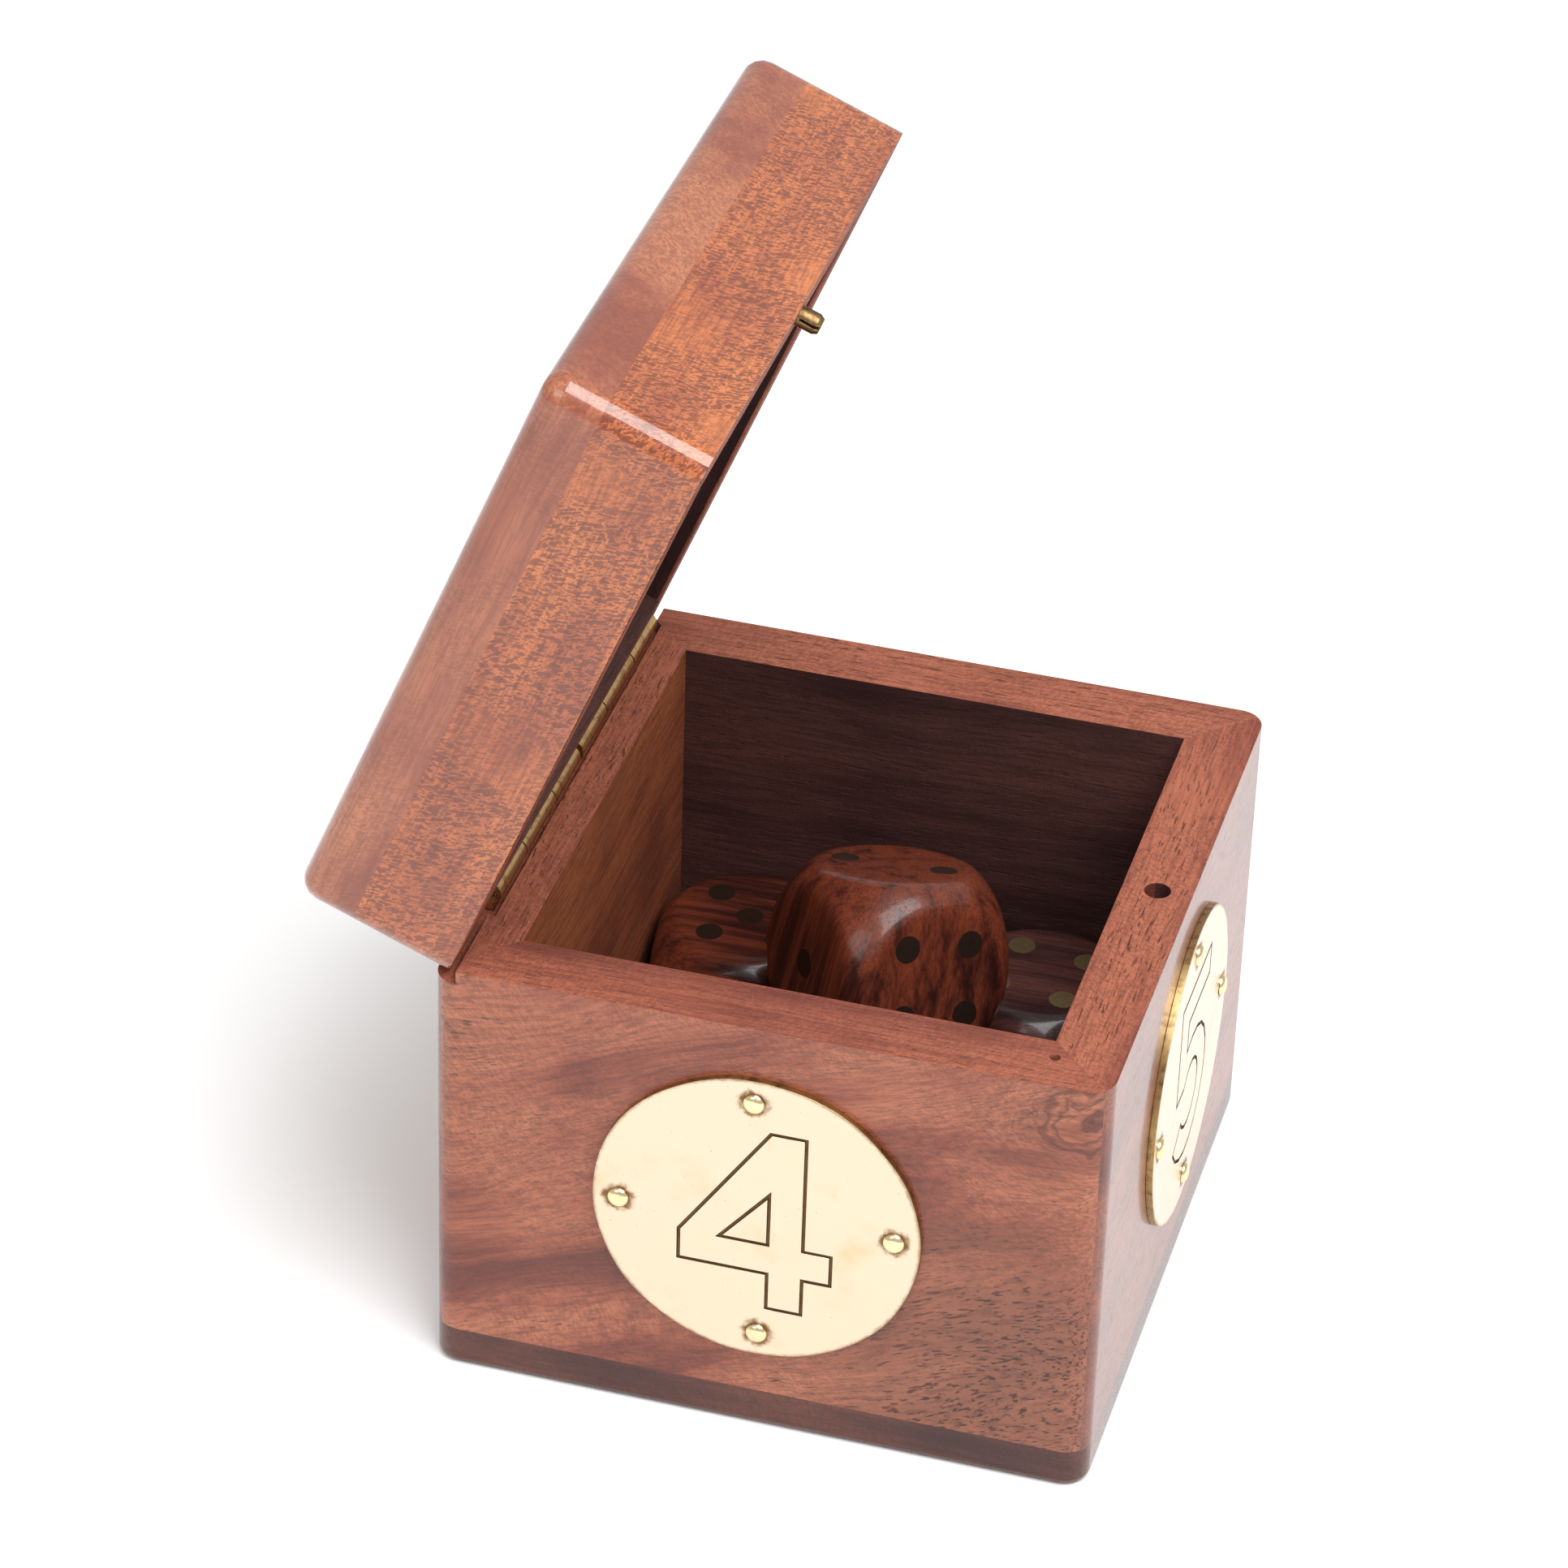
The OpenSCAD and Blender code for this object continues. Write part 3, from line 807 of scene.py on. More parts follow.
# Woods
FRONT_LACQUER = WoodFinish(
    "front_lacquer", light=(0.43, 0.15, 0.08), middle=(0.28, 0.07, 0.04), dark=(0.08, 0.022, 0.017),
    flow=16, band=0.11, streak=0.7, curl=0.3, pores=0.8, coat=0.35,
)
SIDE_LACQUER = WoodFinish(
    "side_lacquer", light=(0.30, 0.09, 0.05), middle=(0.20, 0.055, 0.034), dark=(0.07, 0.02, 0.016),
    flow=9, streak=0.5, rough=0.4, coat=0.5,
)
LID_LACQUER = WoodFinish(
    "lid_lacquer", light=(0.58, 0.175, 0.052), middle=(0.37, 0.086, 0.03), dark=(0.10, 0.018, 0.012),
    flow=8, streak=0.35, curl=0.72, pores=0.3, coat=1.0,
)
PANEL_LACQUER = WoodFinish(
    "panel_lacquer", light=(0.46, 0.165, 0.075), middle=(0.29, 0.074, 0.038), dark=(0.16, 0.038, 0.022),
    flow=8, streak=0.4, curl=0.4, pores=0.5, coat=1.0,
)
BOARD_LACQUER = WoodFinish(
    "board_lacquer", light=(0.145, 0.044, 0.027), middle=(0.09, 0.025, 0.018), dark=(0.03, 0.010, 0.009),
    flow=6, streak=0.8, curl=0.3, coat=0.35,
)
BARE_RIM = WoodFinish(
    "bare_rim", light=(0.39, 0.125, 0.07), middle=(0.28, 0.078, 0.048), dark=(0.10, 0.026, 0.019),
    flow=3, curl=0.35, pores=0.75, rough=0.75, coat=0.0, relief=0.3,
)
BARE_INSIDE = WoodFinish(
    "bare_inside", light=(0.33, 0.095, 0.034), middle=(0.21, 0.052, 0.022), dark=(0.07, 0.018, 0.011),
    flow=7, curl=0.2, pores=0.5, rough=0.7, coat=0.0, relief=0.10,
)
# A darkened copy of the inside wood, which paints the shade that falls inside the box and under the open lid
SHADED_INSIDE = WoodFinish(
    "painted_shade_inside", light=(0.11, 0.042, 0.034), middle=(0.065, 0.026, 0.023), dark=(0.022, 0.010, 0.010),
    flow=8, streak=0.7, curl=0.2, pores=0.4, rough=0.6, coat=0.0, relief=0.08,
)
RED_DIE = WoodFinish(
    "red_die", light=(0.17, 0.036, 0.016), middle=(0.075, 0.016, 0.010), dark=(0.016, 0.005, 0.004),
    flow=1.2, band=0.5, streak=0.8, curl=0.0, pores=0.3, rough=0.34, coat=0.25,
)
DARK_DIE = WoodFinish(
    "dark_die", light=(0.12, 0.042, 0.034), middle=(0.065, 0.022, 0.020), dark=(0.018, 0.008, 0.008),
    flow=3, band=0.25, streak=0.8, curl=0.1, pores=0.4, coat=0.35,
)

# Brasses, and the dark lines and pips
PLATE_BRASS = BrassFinish("plate_brass", clean=(0.74, 0.605, 0.45), dull=(0.20, 0.11, 0.04), rough=0.2)
PATINA = BrassFinish("engraving_patina", clean=(0.16, 0.10, 0.045), dull=(0.06, 0.035, 0.02), rough=0.6)
NAIL_BRASS = BrassFinish(
    "nail_brass", clean=(0.88, 0.70, 0.42), dull=(0.45, 0.30, 0.13), rough=0.18, speckle=0.25,
)
HINGE_BRASS = BrassFinish(
    "hinge_brass", clean=(0.62, 0.41, 0.18), dull=(0.22, 0.115, 0.045), rough=0.34, speckle=0.75,
)
PLATE_EDGE = BrassFinish(
    "plate_edge_brass", clean=(0.52, 0.36, 0.16), dull=(0.16, 0.09, 0.035), rough=0.35, speckle=0.8,
)
PIN_BRASS = BrassFinish(
    "pin_brass", clean=(0.26, 0.16, 0.07), dull=(0.08, 0.045, 0.02), rough=0.4, speckle=0.8,
)
DULL_PIP = BrassFinish("dull_pip", clean=(0.075, 0.042, 0.03), dull=(0.04, 0.022, 0.018), rough=0.55)
PIP_BRASS = BrassFinish("pip_brass", clean=(0.60, 0.48, 0.24), dull=(0.30, 0.20, 0.09), rough=0.38)


def new_piece(name: str, mesh: bpy.types.Mesh) -> bpy.types.Object:
    """Put a mesh in the scene.

    Args:
        name: The name of its object.
        mesh: The mesh.

    Returns:
        The object, at the origin.
    """
    piece = bpy.data.objects.new(name, mesh)
    bpy.context.scene.collection.objects.link(piece)
    return piece


def settle(piece: bpy.types.Object) -> None:
    """Turn a piece with its modifiers into a plain mesh.

    Args:
        piece: The piece.
    """
    old_mesh = piece.data
    result = piece.evaluated_get(bpy.context.evaluated_depsgraph_get())
    mesh = bpy.data.meshes.new_from_object(result)
    piece.modifiers.clear()
    piece.data = mesh
    bpy.data.meshes.remove(old_mesh)


def shade_smooth(piece: bpy.types.Object, angle: float) -> None:
    """Shade a piece smooth with its flats even and its sharp edges kept.

    Args:
        piece: The piece to shade.
        angle: The least angle of a sharp edge, in radians.
    """
    for face in piece.data.polygons:
        face.use_smooth = True
    piece.data.set_sharp_from_angle(angle=angle)
    even = piece.modifiers.new("even_flats", "WEIGHTED_NORMAL")
    even.keep_sharp = True
    settle(piece)


def worked_copy(node: str, name: str, edge: float, steps: int = 2,
                glued: tuple[Vector, ...] = ()) -> bpy.types.Object:
    """Copy a CAD node and ease its edges.

    Args:
        node: The CAD node.
        name: The new piece's name.
        edge: How far the edges are eased.
        steps: Facets across an eased edge.
        glued: The ways that its glued faces look, whose edges stay crisp.

    Returns:
        The new piece, at the origin.
    """
    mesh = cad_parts[node].data.copy()
    mesh.name = name
    mesh.materials.clear()
    piece = new_piece(name, mesh)
    shape = bmesh.new()
    shape.from_mesh(mesh)
    bmesh.ops.remove_doubles(shape, verts=shape.verts, dist=MERGED)
    bmesh.ops.dissolve_limit(shape, angle_limit=FLAT_ANGLE, verts=shape.verts, edges=shape.edges)
    shape.normal_update()
    sharp = [
        e for e in shape.edges
        if len(e.link_faces) == 2 and e.calc_face_angle(0) > EDGE_ANGLE
        and not any(f.normal.dot(way) > GLUED_FACING for f in e.link_faces for way in glued)
    ]
    bmesh.ops.bevel(
        shape, geom=sharp, offset=edge, segments=steps, profile=0.5, affect="EDGES", clamp_overlap=True,
    )
    shape.to_mesh(mesh)
    shape.free()
    return piece


def paint(piece: bpy.types.Object, materials: list[bpy.types.Material], choose: Choose) -> None:
    """Give a piece its materials face by face.

    Args:
        piece: The piece.
        materials: Its materials.
        choose: Takes a face and returns a material's number.
    """
    for material in materials:
        piece.data.materials.append(material)
    for face in piece.data.polygons:
        face.material_index = choose(face)


def seat(piece: bpy.types.Object, body: str, node: str) -> None:
    """Fasten a finished piece to its body in place of its CAD node.

    Args:
        piece: The piece.
        body: The body that it moves with.
        node: The CAD node that it stands for.
    """
    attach(piece, body)
    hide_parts(node)
    LOG.info("%s rides on %s", piece.name, body)


def dress(node: str, material: bpy.types.Material) -> None:
    """Give a CAD node its material.

    Args:
        node: The node.
        material: The material.
    """
    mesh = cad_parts[node].data
    mesh.materials.clear()
    mesh.materials.append(material)
    LOG.info("%s has its %s", node, material.name)


@dataclass(frozen=True)
class Board:
    """One mitred board: its node, its side, the way of its grain and its own figure."""

    node: str
    side: Side
    run: Run
    seed: float
    tip: float = 0.0


@dataclass
class BoxBody:
    """The four mitred walls on their bottom board.

    A face takes a side's finish when the cosine between them is more than its facing.
    """

    grain: bpy.types.NodeTree
    eased: float = 0.5 * MM
    board_eased: float = 0.2 * MM
    facing: float = 0.3
    facing_up: float = 0.7
    crease: float = math.radians(28)
    board_crease: float = math.radians(40)
    knot: Mark = Mark((37 * MM, -39 * MM, 51 * MM), 5 * MM)
    pale: Mark = Mark((31 * MM, -39 * MM, 11 * MM), 25 * MM)

    def build(self) -> None:
        """Make the walls and the board."""
        walls = (
            Board("front_wall", Side.FRONT, Run.ACROSS, seed=1.0, tip=0.33),
            Board("back_wall", Side.BACK, Run.ACROSS, seed=2.3),
            Board("hinge_wall", Side.HINGE, Run.DEEP, seed=3.1),
            Board("catch_wall", Side.CATCH, Run.DEEP, seed=4.7),
        )
        for wall in walls:
            self.wall(wall)
        self.bottom()

    def wall(self, wall: Board) -> None:
        """Make one wall, lacquered outside and bare elsewhere, with painted shade on the inside of the back
        and catch walls.

        Args:
            wall: The wall.
        """
        glued = (*wall.side.mitres(), Side.BOTTOM.outward)
        piece = worked_copy(wall.node, f"{wall.node}_wood", self.eased, glued=glued)
        wide = wall.side in (Side.FRONT, Side.BACK)
        outer = FRONT_LACQUER if wide else SIDE_LACQUER
        # The back and catch walls' inside faces take the darkened wood that paints the shade in the box; the
        # hinge and front walls' stay bare
        inner = BARE_INSIDE if wall.side in (Side.HINGE, Side.FRONT) else SHADED_INSIDE
        marks = {"Knot": self.knot, "Sapwood": self.pale} if wall.side is Side.FRONT else {}
        materials = [
            outer.make(wall.node, wall.run, self.grain, wall.seed, tip=wall.tip, marks=marks),
            BARE_RIM.make(wall.node, wall.run, self.grain, wall.seed + RIM_SHIFT),
            inner.make(wall.node, wall.run, self.grain, wall.seed + INSIDE_SHIFT),
        ]

        def choose(face: bpy.types.MeshPolygon) -> int:
            """Tell the finish of a face.

            Args:
                face: The face.

            Returns:
                0 outside, 1 on the rim and 2 inside.
            """
            if face.normal.dot(wall.side.outward) > self.facing:
                return 0
            return 1 if face.normal.z > self.facing else 2

        paint(piece, materials, choose)
        shade_smooth(piece, self.crease)
        seat(piece, "box", wall.node)

    def bottom(self) -> None:
        """Make the bottom board."""
        above = (Side.TOP.outward,)
        piece = worked_copy("base_board", "base_board_wood", self.board_eased, steps=1, glued=above)
        materials = [
            BOARD_LACQUER.make("edge", Run.ACROSS, self.grain, seed=5.2),
            # The floor inside the box is darkened with painted shade
            SHADED_INSIDE.make("floor", Run.ACROSS, self.grain, seed=5.9),
        ]
        paint(piece, materials, lambda face: 1 if face.normal.z > self.facing_up else 0)
        shade_smooth(piece, self.board_crease)
        seat(piece, "box", "base_board")


@dataclass
class Lid:
    """The hollow lid: four mitred rails under a top board.

    A face takes a side's finish when the cosine between them is more than its facing.
    """

    grain: bpy.types.NodeTree
    eased: float = 0.35 * MM
    board_eased: float = 0.15 * MM
    facing: float = 0.3
    facing_down: float = 0.7
    crease: float = math.radians(28)
    board_crease: float = math.radians(30)

    def build(self) -> None:
        """Make the rails and the top board."""
        rails = (
            Board("lid_front_rail", Side.FRONT, Run.ACROSS, seed=6.1),
            Board("lid_back_rail", Side.BACK, Run.ACROSS, seed=7.3),
            Board("lid_hinge_rail", Side.HINGE, Run.DEEP, seed=8.2),
            Board("lid_catch_rail", Side.CATCH, Run.DEEP, seed=9.4),
        )
        for rail in rails:
            self.rail(rail)
        self.top()

    def rail(self, rail: Board) -> None:
        """Make one rail, lacquered outside, bare on its rim and darkened inside with painted shade.

        Args:
            rail: The rail.
        """
        opened = lid_turn().to_3x3()
        closed = opened.inverted()
        glued = tuple(opened @ way for way in (*rail.side.mitres(), Side.TOP.outward))
        piece = worked_copy(rail.node, f"{rail.node}_wood", self.eased, glued=glued)
        materials = [
            LID_LACQUER.make(rail.node, rail.run, self.grain, rail.seed, on_lid=True),
            BARE_RIM.make(rail.node, rail.run, self.grain, rail.seed + RIM_SHIFT, on_lid=True),
            # The rail's inside faces are darkened with painted shade
            SHADED_INSIDE.make(rail.node, rail.run, self.grain, rail.seed + INSIDE_SHIFT, on_lid=True),
        ]

        def choose(face: bpy.types.MeshPolygon) -> int:
            """Tell the finish of a face.

            Args:
                face: The face.

            Returns:
                0 outside, 1 on the rim and 2 inside.
            """
            way = closed @ Vector(face.normal)
            if way.dot(rail.side.outward) > self.facing:
                return 0
            return 1 if way.z < -self.facing else 2

        paint(piece, materials, choose)
        shade_smooth(piece, self.crease)
        seat(piece, "lid", rail.node)

    def top(self) -> None:
        """Make the top board."""
        opened = lid_turn().to_3x3()
        closed = opened.inverted()
        under = (opened @ Side.BOTTOM.outward,)
        piece = worked_copy("lid_top_board", "lid_top_board_wood", self.board_eased, steps=1, glued=under)
        materials = [
            PANEL_LACQUER.make("top", Run.ACROSS, self.grain, seed=3.7, on_lid=True),
            # The lid's underside is darkened with painted shade
            SHADED_INSIDE.make("lid_ceiling", Run.ACROSS, self.grain, seed=11.2, on_lid=True),
        ]

        def choose(face: bpy.types.MeshPolygon) -> int:
            """Return 1 on the underside and 0 elsewhere."""
            return 1 if (closed @ Vector(face.normal)).z < -self.facing_down else 0

        paint(piece, materials, choose)
        shade_smooth(piece, self.board_crease)
        seat(piece, "lid", "lid_top_board")


class NailRing(GroupTable):
    """The Geometry Nodes tree that sets nails on a ring, with inputs for its sizes."""

    LEAN = 0.05
    MOST_SPIN = 6.28
    SEED = 4

    def __init__(self, head: bpy.types.Object, material: bpy.types.Material) -> None:
        """Build the tree.

        Args:
            head: The nail head that is repeated.
            material: Its material.
        """
        inputs = {
            "Geometry": (Socket.GEOMETRY, None),
            "Nails": (Socket.COUNT, None),
            "Ring": (Socket.VALUE, None),
            "Turn": (Socket.VALUE, None),
        }
        super().__init__("nails_on_a_ring", inputs, {"Geometry": Socket.GEOMETRY}, "GeometryNodeTree")
        sizes = {"Vertices": self.given["Nails"], "Radius": self.given["Ring"]}
        ring = self.add("GeometryNodeMeshCircle", sizes).outputs[0]
        spin = self.add("ShaderNodeCombineXYZ", {"Z": self.given["Turn"]}).outputs[0]
        turned = self.add("GeometryNodeTransform", {"Geometry": ring, "Rotation": spin}).outputs[0]
        shape = self.add("GeometryNodeObjectInfo", {"Object": head}).outputs["Geometry"]
        least = (-self.LEAN, -self.LEAN, 0.0)
        most = (self.LEAN, self.LEAN, self.MOST_SPIN)
        leans = {0: least, 1: most, "Seed": self.SEED}
        lean = self.add("FunctionNodeRandomValue", leans, data_type="FLOAT_VECTOR").outputs[0]
        set_nails = {"Points": turned, "Instance": shape, "Rotation": lean}
        nails = self.add("GeometryNodeInstanceOnPoints", set_nails).outputs[0]
        real = self.add("GeometryNodeRealizeInstances", {0: nails}).outputs[0]
        painted = self.add("GeometryNodeSetMaterial", {"Geometry": real, "Material": material}).outputs[0]
        self.feed(self.out, 0, painted)

    def run(self, name: str, values: dict[str, float], place: Matrix) -> bpy.types.Object:
        """Run the tree and keep its result as a plain mesh.

        Args:
            name: The new piece's name.
            values: The tree's inputs by name.
            place: Where the result goes.

        Returns:
            The piece, at the origin with its place in its mesh.
        """
        carrier = new_piece(name, bpy.data.meshes.new(name))
        modifier = carrier.modifiers.new("build", "NODES")
        modifier.node_group = self.tree
        sockets = {s.name: s.identifier for s in self.tree.interface.items_tree if s.in_out == "INPUT"}
        for label, value in values.items():
            modifier[sockets[label]] = value
        settle(carrier)
        carrier.data.transform(place)
        carrier.data.update()
        return carrier


@dataclass
class NumberPlates:
    """The round brass plates with their engraved numerals and nails."""

    tarnish: bpy.types.NodeTree
    face_z: float = 29.5 * MM
    four_shift: float = -0.4 * MM
    five_shift: float = 2.9 * MM
    thick: float = 0.8 * MM
    engraved: float = 0.04 * MM
    eased: float = 0.07 * MM
    uneven: float = 0.25 * MM
    waves: float = 3.1
    edge_from: float = 18 * MM
    edge_facing: float = 0.6
    crease: float = math.radians(35)
    head_r: float = 1.25 * MM
    head_h: float = 0.66 * MM
    head_dome: float = 0.8
    head_rings: int = 7
    head_around: int = 20
    head_crease: float = math.radians(40)

    def seats(self) -> list[PlateSeat]:
        """Work out where each plate lies.

        Returns:
            The plates' seats.
        """
        x, y, z = Side.CATCH.outward, Side.BACK.outward, Side.TOP.outward
        turn = lid_turn()
        lid_top = turn @ Vector((0, 0, RIM_Z + LID_HEIGHT))
        spin = turn.to_3x3()
        return [
            PlateSeat("four", "box", Vector((self.four_shift, -BOX_HALF_D, self.face_z)), x, z),
            PlateSeat("five", "box", Vector((BOX_HALF_W, self.five_shift, self.face_z)), y, z),
            PlateSeat("three", "box", Vector((0, BOX_HALF_D, self.face_z)), -x, z),
            PlateSeat("two", "box", Vector((-BOX_HALF_W, 0, self.face_z)), -y, z),
            PlateSeat("one", "lid", lid_top, spin @ x, spin @ y),
        ]

    def build(self) -> None:
        """Make every plate and its nails."""
        ring = NailRing(self.nail_head(), NAIL_BRASS.make("domed"))
        for plate in self.seats():
            self.plate(plate)
            place = plate.matrix() @ Matrix.Translation((0, 0, self.thick))
            values = {"Nails": NAILS, "Ring": NAIL_RING, "Turn": NAIL_TURN}
            nails = ring.run(f"domed_nails_{plate.number}", values, place)
            shade_smooth(nails, self.head_crease)
            seat(nails, plate.body, f"nails_{plate.number}")

    def plate(self, plate: PlateSeat) -> None:
        """Make one plate, dark in its engraved line and a little uneven round its edge.

        Args:
            plate: Where it lies.
        """
        piece = worked_copy(f"plate_{plate.number}", f"number_plate_{plate.number}", self.eased)
        for vert in piece.data.vertices:
            flat = plate.on_face(vert.co)
            if flat.length > self.edge_from:
                way = flat.normalized()
                round_edge = Vector((way.dot(plate.across), way.dot(plate.up), 3)) * self.waves
                dip = 0.5 + 0.5 * noise.noise(round_edge)
                vert.co -= way * dip * self.uneven

        def choose(face: bpy.types.MeshPolygon) -> int:
            """Tell the finish of a face.

            Args:
                face: The face.

            Returns:
                1 down in the engraved line, 2 round the edge and 0 elsewhere.
            """
            inside = plate.on_face(face.center).length < self.edge_from
            if not inside and face.normal.dot(plate.outward) < self.edge_facing:
                return 2
            height = (face.center - plate.middle).dot(plate.outward)
            return 1 if inside and height < self.thick - self.engraved else 0

        materials = [
            PLATE_BRASS.make_plate(plate, self.tarnish),
            PATINA.make(plate.number),
            PLATE_EDGE.make(plate.number),
        ]
        paint(piece, materials, choose)
        shade_smooth(piece, self.crease)
        seat(piece, plate.body, f"plate_{plate.number}")

    def nail_head(self) -> bpy.types.Object:
        """Make a low domed nail head to be repeated, kept out of the scene.

        Returns:
            The nail head.
        """
        mesh = bpy.data.meshes.new("nail_head")
        shape = bmesh.new()
        loops = [self.head_loop(shape, ring) for ring in range(self.head_rings)]
        shape.faces.new(loops[0][::-1])
        pairs = [(i, (i + 1) % self.head_around) for i in range(self.head_around)]
        for lower, upper in zip(loops, loops[1:]):
            for i, j in pairs:
                shape.faces.new((lower[i], lower[j], upper[j], upper[i]))
        peak = shape.verts.new((0, 0, self.head_h))
        for i, j in pairs:
            shape.faces.new((loops[-1][i], loops[-1][j], peak))
        shape.to_mesh(mesh)
        shape.free()
        return bpy.data.objects.new("nail_head", mesh)

    def head_loop(self, shape: bmesh.types.BMesh, ring: int) -> list[bmesh.types.BMVert]:
        """Lay one ring of a nail head's points.

        Args:
            shape: The head's mesh.
            ring: The ring's number, from the rim up.

        Returns:
            The ring's points.
        """
        rise = ring / self.head_rings * math.pi / 2
        radius = self.head_r * math.cos(rise) ** self.head_dome
        height = self.head_h * math.sin(rise)
        turns = [2 * math.pi * i / self.head_around for i in range(self.head_around)]
        return [shape.verts.new((radius * math.cos(t), radius * math.sin(t), height)) for t in turns]


@dataclass(frozen=True)
class DieSeat:
    """One die: its node and body, its wood, and its turn, lean and roll in degrees."""

    node: str
    body: str
    finish: WoodFinish
    pips: BrassFinish
    run: Run
    seed: float
    turn: Triple

    def matrix(self) -> Matrix:
        """Work out where the die lies, from the middle of its node.

        Returns:
            The die's place and turn.
        """
        low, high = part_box(self.node)
        turn, lean, roll = (math.radians(angle) for angle in self.turn)
        spin = Matrix.Rotation(turn, 4, "Z") @ Matrix.Rotation(lean, 4, "Y") @ Matrix.Rotation(roll, 4, "X")
        return Matrix.Translation((Vector(low) + Vector(high)) / 2) @ spin


@dataclass
class Dice:
    """The wooden dice, each a cube that is rounded by a ball."""

    grain: bpy.types.NodeTree
    edge: float = 22 * MM
    shy: float = 0.03 * MM
    ball: float = 14.19 * MM
    crispness: float = 3.5 / MM
    cuts: int = 26
    crease: float = math.radians(50)

    def build(self) -> None:
        """Make the dice and dress their pips."""
        seats = (
            DieSeat("top_die", "loose_die", RED_DIE, DULL_PIP, Run.UPRIGHT, seed=12.1, turn=(-44, -16, -12)),
            DieSeat("left_back_die", "box", RED_DIE, DULL_PIP, Run.ACROSS, seed=13.7, turn=(6, 0, 0)),
            DieSeat("right_back_die", "box", DARK_DIE, PIP_BRASS, Run.ACROSS, seed=14.9, turn=(-7, 0, 0)),
            DieSeat("left_front_die", "box", DARK_DIE, PIP_BRASS, Run.DEEP, seed=15.3, turn=(-4, 0, 0)),
            DieSeat("right_front_die", "box", RED_DIE, PIP_BRASS, Run.DEEP, seed=16.8, turn=(5, 0, 0)),
        )
        for die in seats:
            self.die(die)
            dress(f"{die.node}_pips", die.pips.make(f"{die.node}_pips"))

    def die(self, die: DieSeat) -> None:
        """Make one die where its node lies.

        Args:
            die: The die's seat.
        """
        mesh = bpy.data.meshes.new(f"{die.node}_wood")
        shape = bmesh.new()
        bmesh.ops.create_cube(shape, size=2)
        bmesh.ops.subdivide_edges(shape, edges=shape.edges, cuts=self.cuts, use_grid_fill=True)
        for vert in shape.verts:
            vert.co = self.rounded(vert.co)
        shape.transform(die.matrix())
        shape.to_mesh(mesh)
        shape.free()
        piece = new_piece(f"{die.node}_wood", mesh)
        tip = math.radians(die.turn[2])
        mesh.materials.append(die.finish.make(die.node, die.run, self.grain, die.seed, tip=tip))
        shade_smooth(piece, self.crease)
        seat(piece, die.body, die.node)

    def rounded(self, point: Vector) -> Vector:
        """Move a point of a plain cube onto the rounded die.

        Args:
            point: The point, on a cube from -1 to 1.

        Returns:
            Its place on the cube or the ball, whichever is nearer, with a soft edge between.
        """
        way = Vector([math.tan(c * math.pi / 4) for c in point])
        half = self.edge / 2 - self.shy
        reach = half / max(abs(c) for c in way) * way.length
        way.normalize()
        blend = math.log1p(math.exp(-self.crispness * abs(reach - self.ball)))
        return way * (min(reach, self.ball) - blend / self.crispness)


@dataclass
class Hardware:
    """The two hinges with their brads, and the split catch pin."""

    eased: float = 0.12 * MM
    crease: float = math.radians(35)

    def build(self) -> None:
        """Make the hinges and the pin, and dress the brads."""
        metal = HINGE_BRASS.make("drawn")
        for place in ("near", "far"):
            self.fitting(f"{place}_hinge_box_leaf", "box", metal)
            self.fitting(f"{place}_hinge_lid_leaf", "lid", metal)
            dress(f"{place}_hinge_pin", metal)
        for node in ("box_leaf_brads", "lid_leaf_brads"):
            dress(node, metal)
        self.fitting("catch_pin", "lid", PIN_BRASS.make("split"))

    def fitting(self, node: str, body: str, metal: bpy.types.Material) -> None:
        """Make one brass fitting.

        Args:
            node: The CAD node that it stands for.
            body: The body that it moves with.
            metal: Its material.
        """
        piece = worked_copy(node, f"{node}_brass", self.eased)
        piece.data.materials.append(metal)
        shade_smooth(piece, self.crease)
        seat(piece, body, node)


@dataclass(frozen=True)
class SoftBox:
    """A square soft box that looks at the box, with its power in watts."""

    name: str
    place: Triple
    size: float
    power: float

    def hang(self, look_at: Triple) -> None:
        """Hang the soft box.

        Args:
            look_at: The point that it faces.
        """
        data = bpy.data.lights.new(self.name, "AREA")
        data.size = self.size
        data.energy = self.power
        light = bpy.data.objects.new(self.name, data)
        light.location = self.place
        aim = Vector(look_at) - Vector(self.place)
        light.rotation_euler = aim.to_track_quat("-Z", "Y").to_euler()
        bpy.context.scene.collection.objects.link(light)


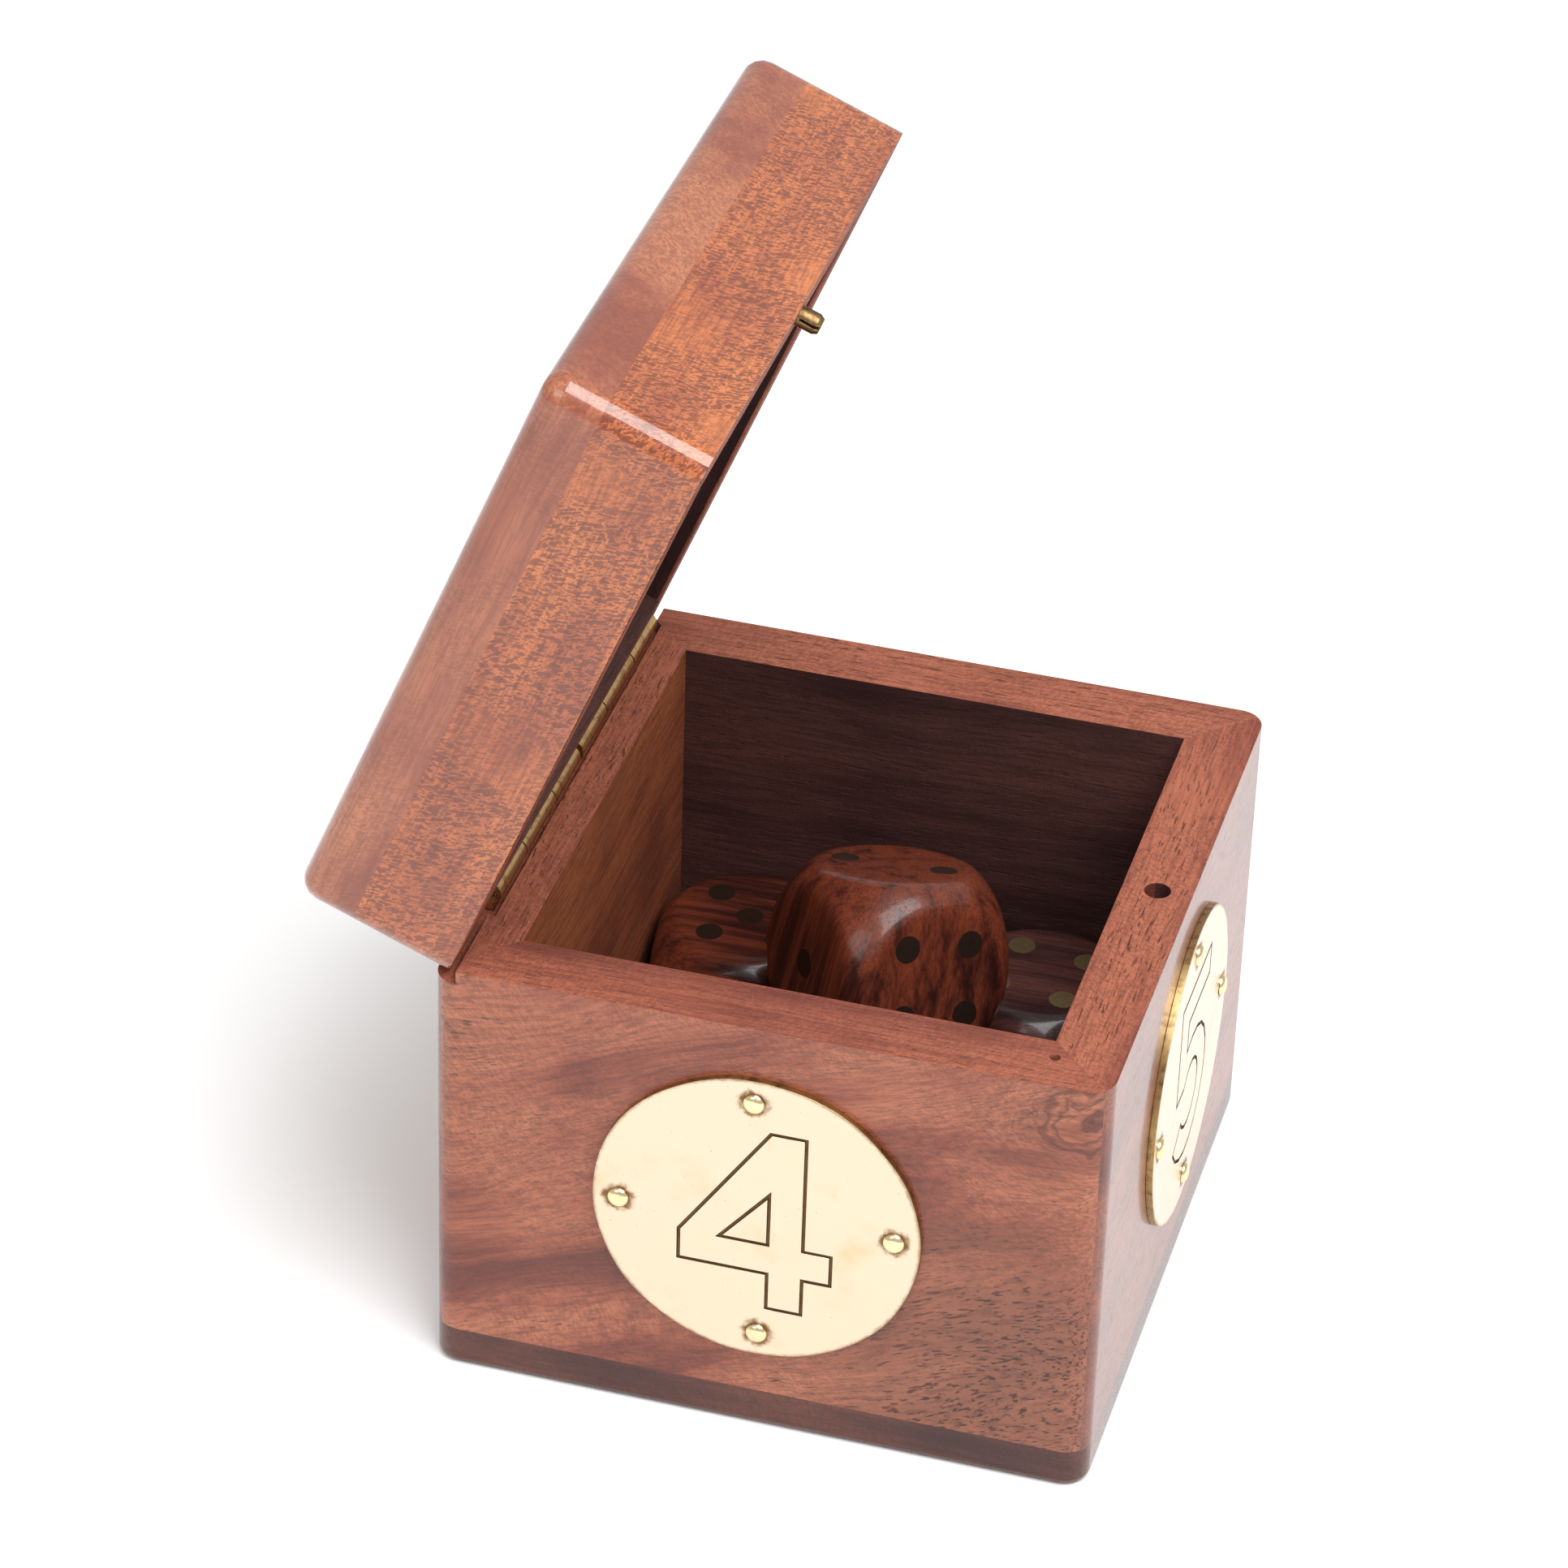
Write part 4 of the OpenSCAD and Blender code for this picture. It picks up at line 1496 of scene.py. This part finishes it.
@dataclass
class Studio:
    """A white floor, soft light and the photograph's view.

    The focal length and the picture's width are in pixels, the sensor's width in millimetres.
    """

    eye: Triple = (0.13743, -0.55370, 0.44347)
    right: Triple = (0.96133, 0.27400, 0.02768)
    down: Triple = (0.17474, -0.52921, -0.83030)
    forward: Triple = (-0.21285, 0.80303, -0.55663)
    focal: float = 7573.7
    picture: float = 1932.0
    sensor: float = 36.0
    nearest: float = 0.01
    floor_reach: float = 3.0
    floor_grey: float = 0.95
    floor_rough: float = 0.9
    surround: float = 0.64
    look_at: Triple = (0, 0, 0.05)
    key: SoftBox = SoftBox("key", (-0.35, -0.75, 0.75), size=0.5, power=1.9)
    top: SoftBox = SoftBox("top", (0.36, -0.28, 0.90), size=0.7, power=11.0)

    def build(self) -> None:
        """Set the camera, the floor and the lights."""
        self.camera()
        self.floor()
        self.lights()

    def camera(self) -> None:
        """Place the camera where the photograph was taken from."""
        data = bpy.data.cameras.new("camera")
        data.sensor_width = self.sensor
        data.sensor_fit = "HORIZONTAL"
        data.lens = self.sensor * self.focal / self.picture
        data.clip_start = self.nearest
        camera = bpy.data.objects.new("camera", data)
        turn = Matrix((self.right, [-c for c in self.down], [-c for c in self.forward])).transposed()
        camera.matrix_world = Matrix.Translation(self.eye) @ turn.to_4x4()
        bpy.context.scene.collection.objects.link(camera)
        bpy.context.scene.camera = camera

    def floor(self) -> None:
        """Lay a pale floor under the box."""
        mesh = bpy.data.meshes.new("floor")
        reach = self.floor_reach
        corners = [(-reach, -reach, 0), (reach, -reach, 0), (reach, reach, 0), (-reach, reach, 0)]
        mesh.from_pydata(corners, [], [(0, 1, 2, 3)])
        floor = new_piece("floor", mesh)
        material = bpy.data.materials.new("pale_floor")
        material.use_nodes = True
        shader = material.node_tree.nodes["Principled BSDF"]
        shader.inputs["Base Color"].default_value = opaque((self.floor_grey,) * 3)
        shader.inputs["Roughness"].default_value = self.floor_rough
        mesh.materials.append(material)

    def lights(self) -> None:
        """Light the box from a white surround and two soft boxes."""
        world = bpy.data.worlds.new("white_room")
        world.use_nodes = True
        background = world.node_tree.nodes["Background"]
        background.inputs["Color"].default_value = (1, 1, 1, 1)
        background.inputs["Strength"].default_value = self.surround
        bpy.context.scene.world = world
        for soft_box in (self.key, self.top):
            soft_box.hang(self.look_at)
        bpy.context.scene.view_settings.view_transform = "Standard"


def main() -> None:
    """Build the box, its lid, its metal and its dice."""
    logging.basicConfig(level=logging.INFO, format="%(name)s: %(message)s")
    grain = RosewoodGrain().tree
    Studio().build()
    BoxBody(grain).build()
    Lid(grain).build()
    NumberPlates(BrassTarnish().tree).build()
    Hardware().build()
    Dice(grain).build()


if __name__ == "__main__":
    main()
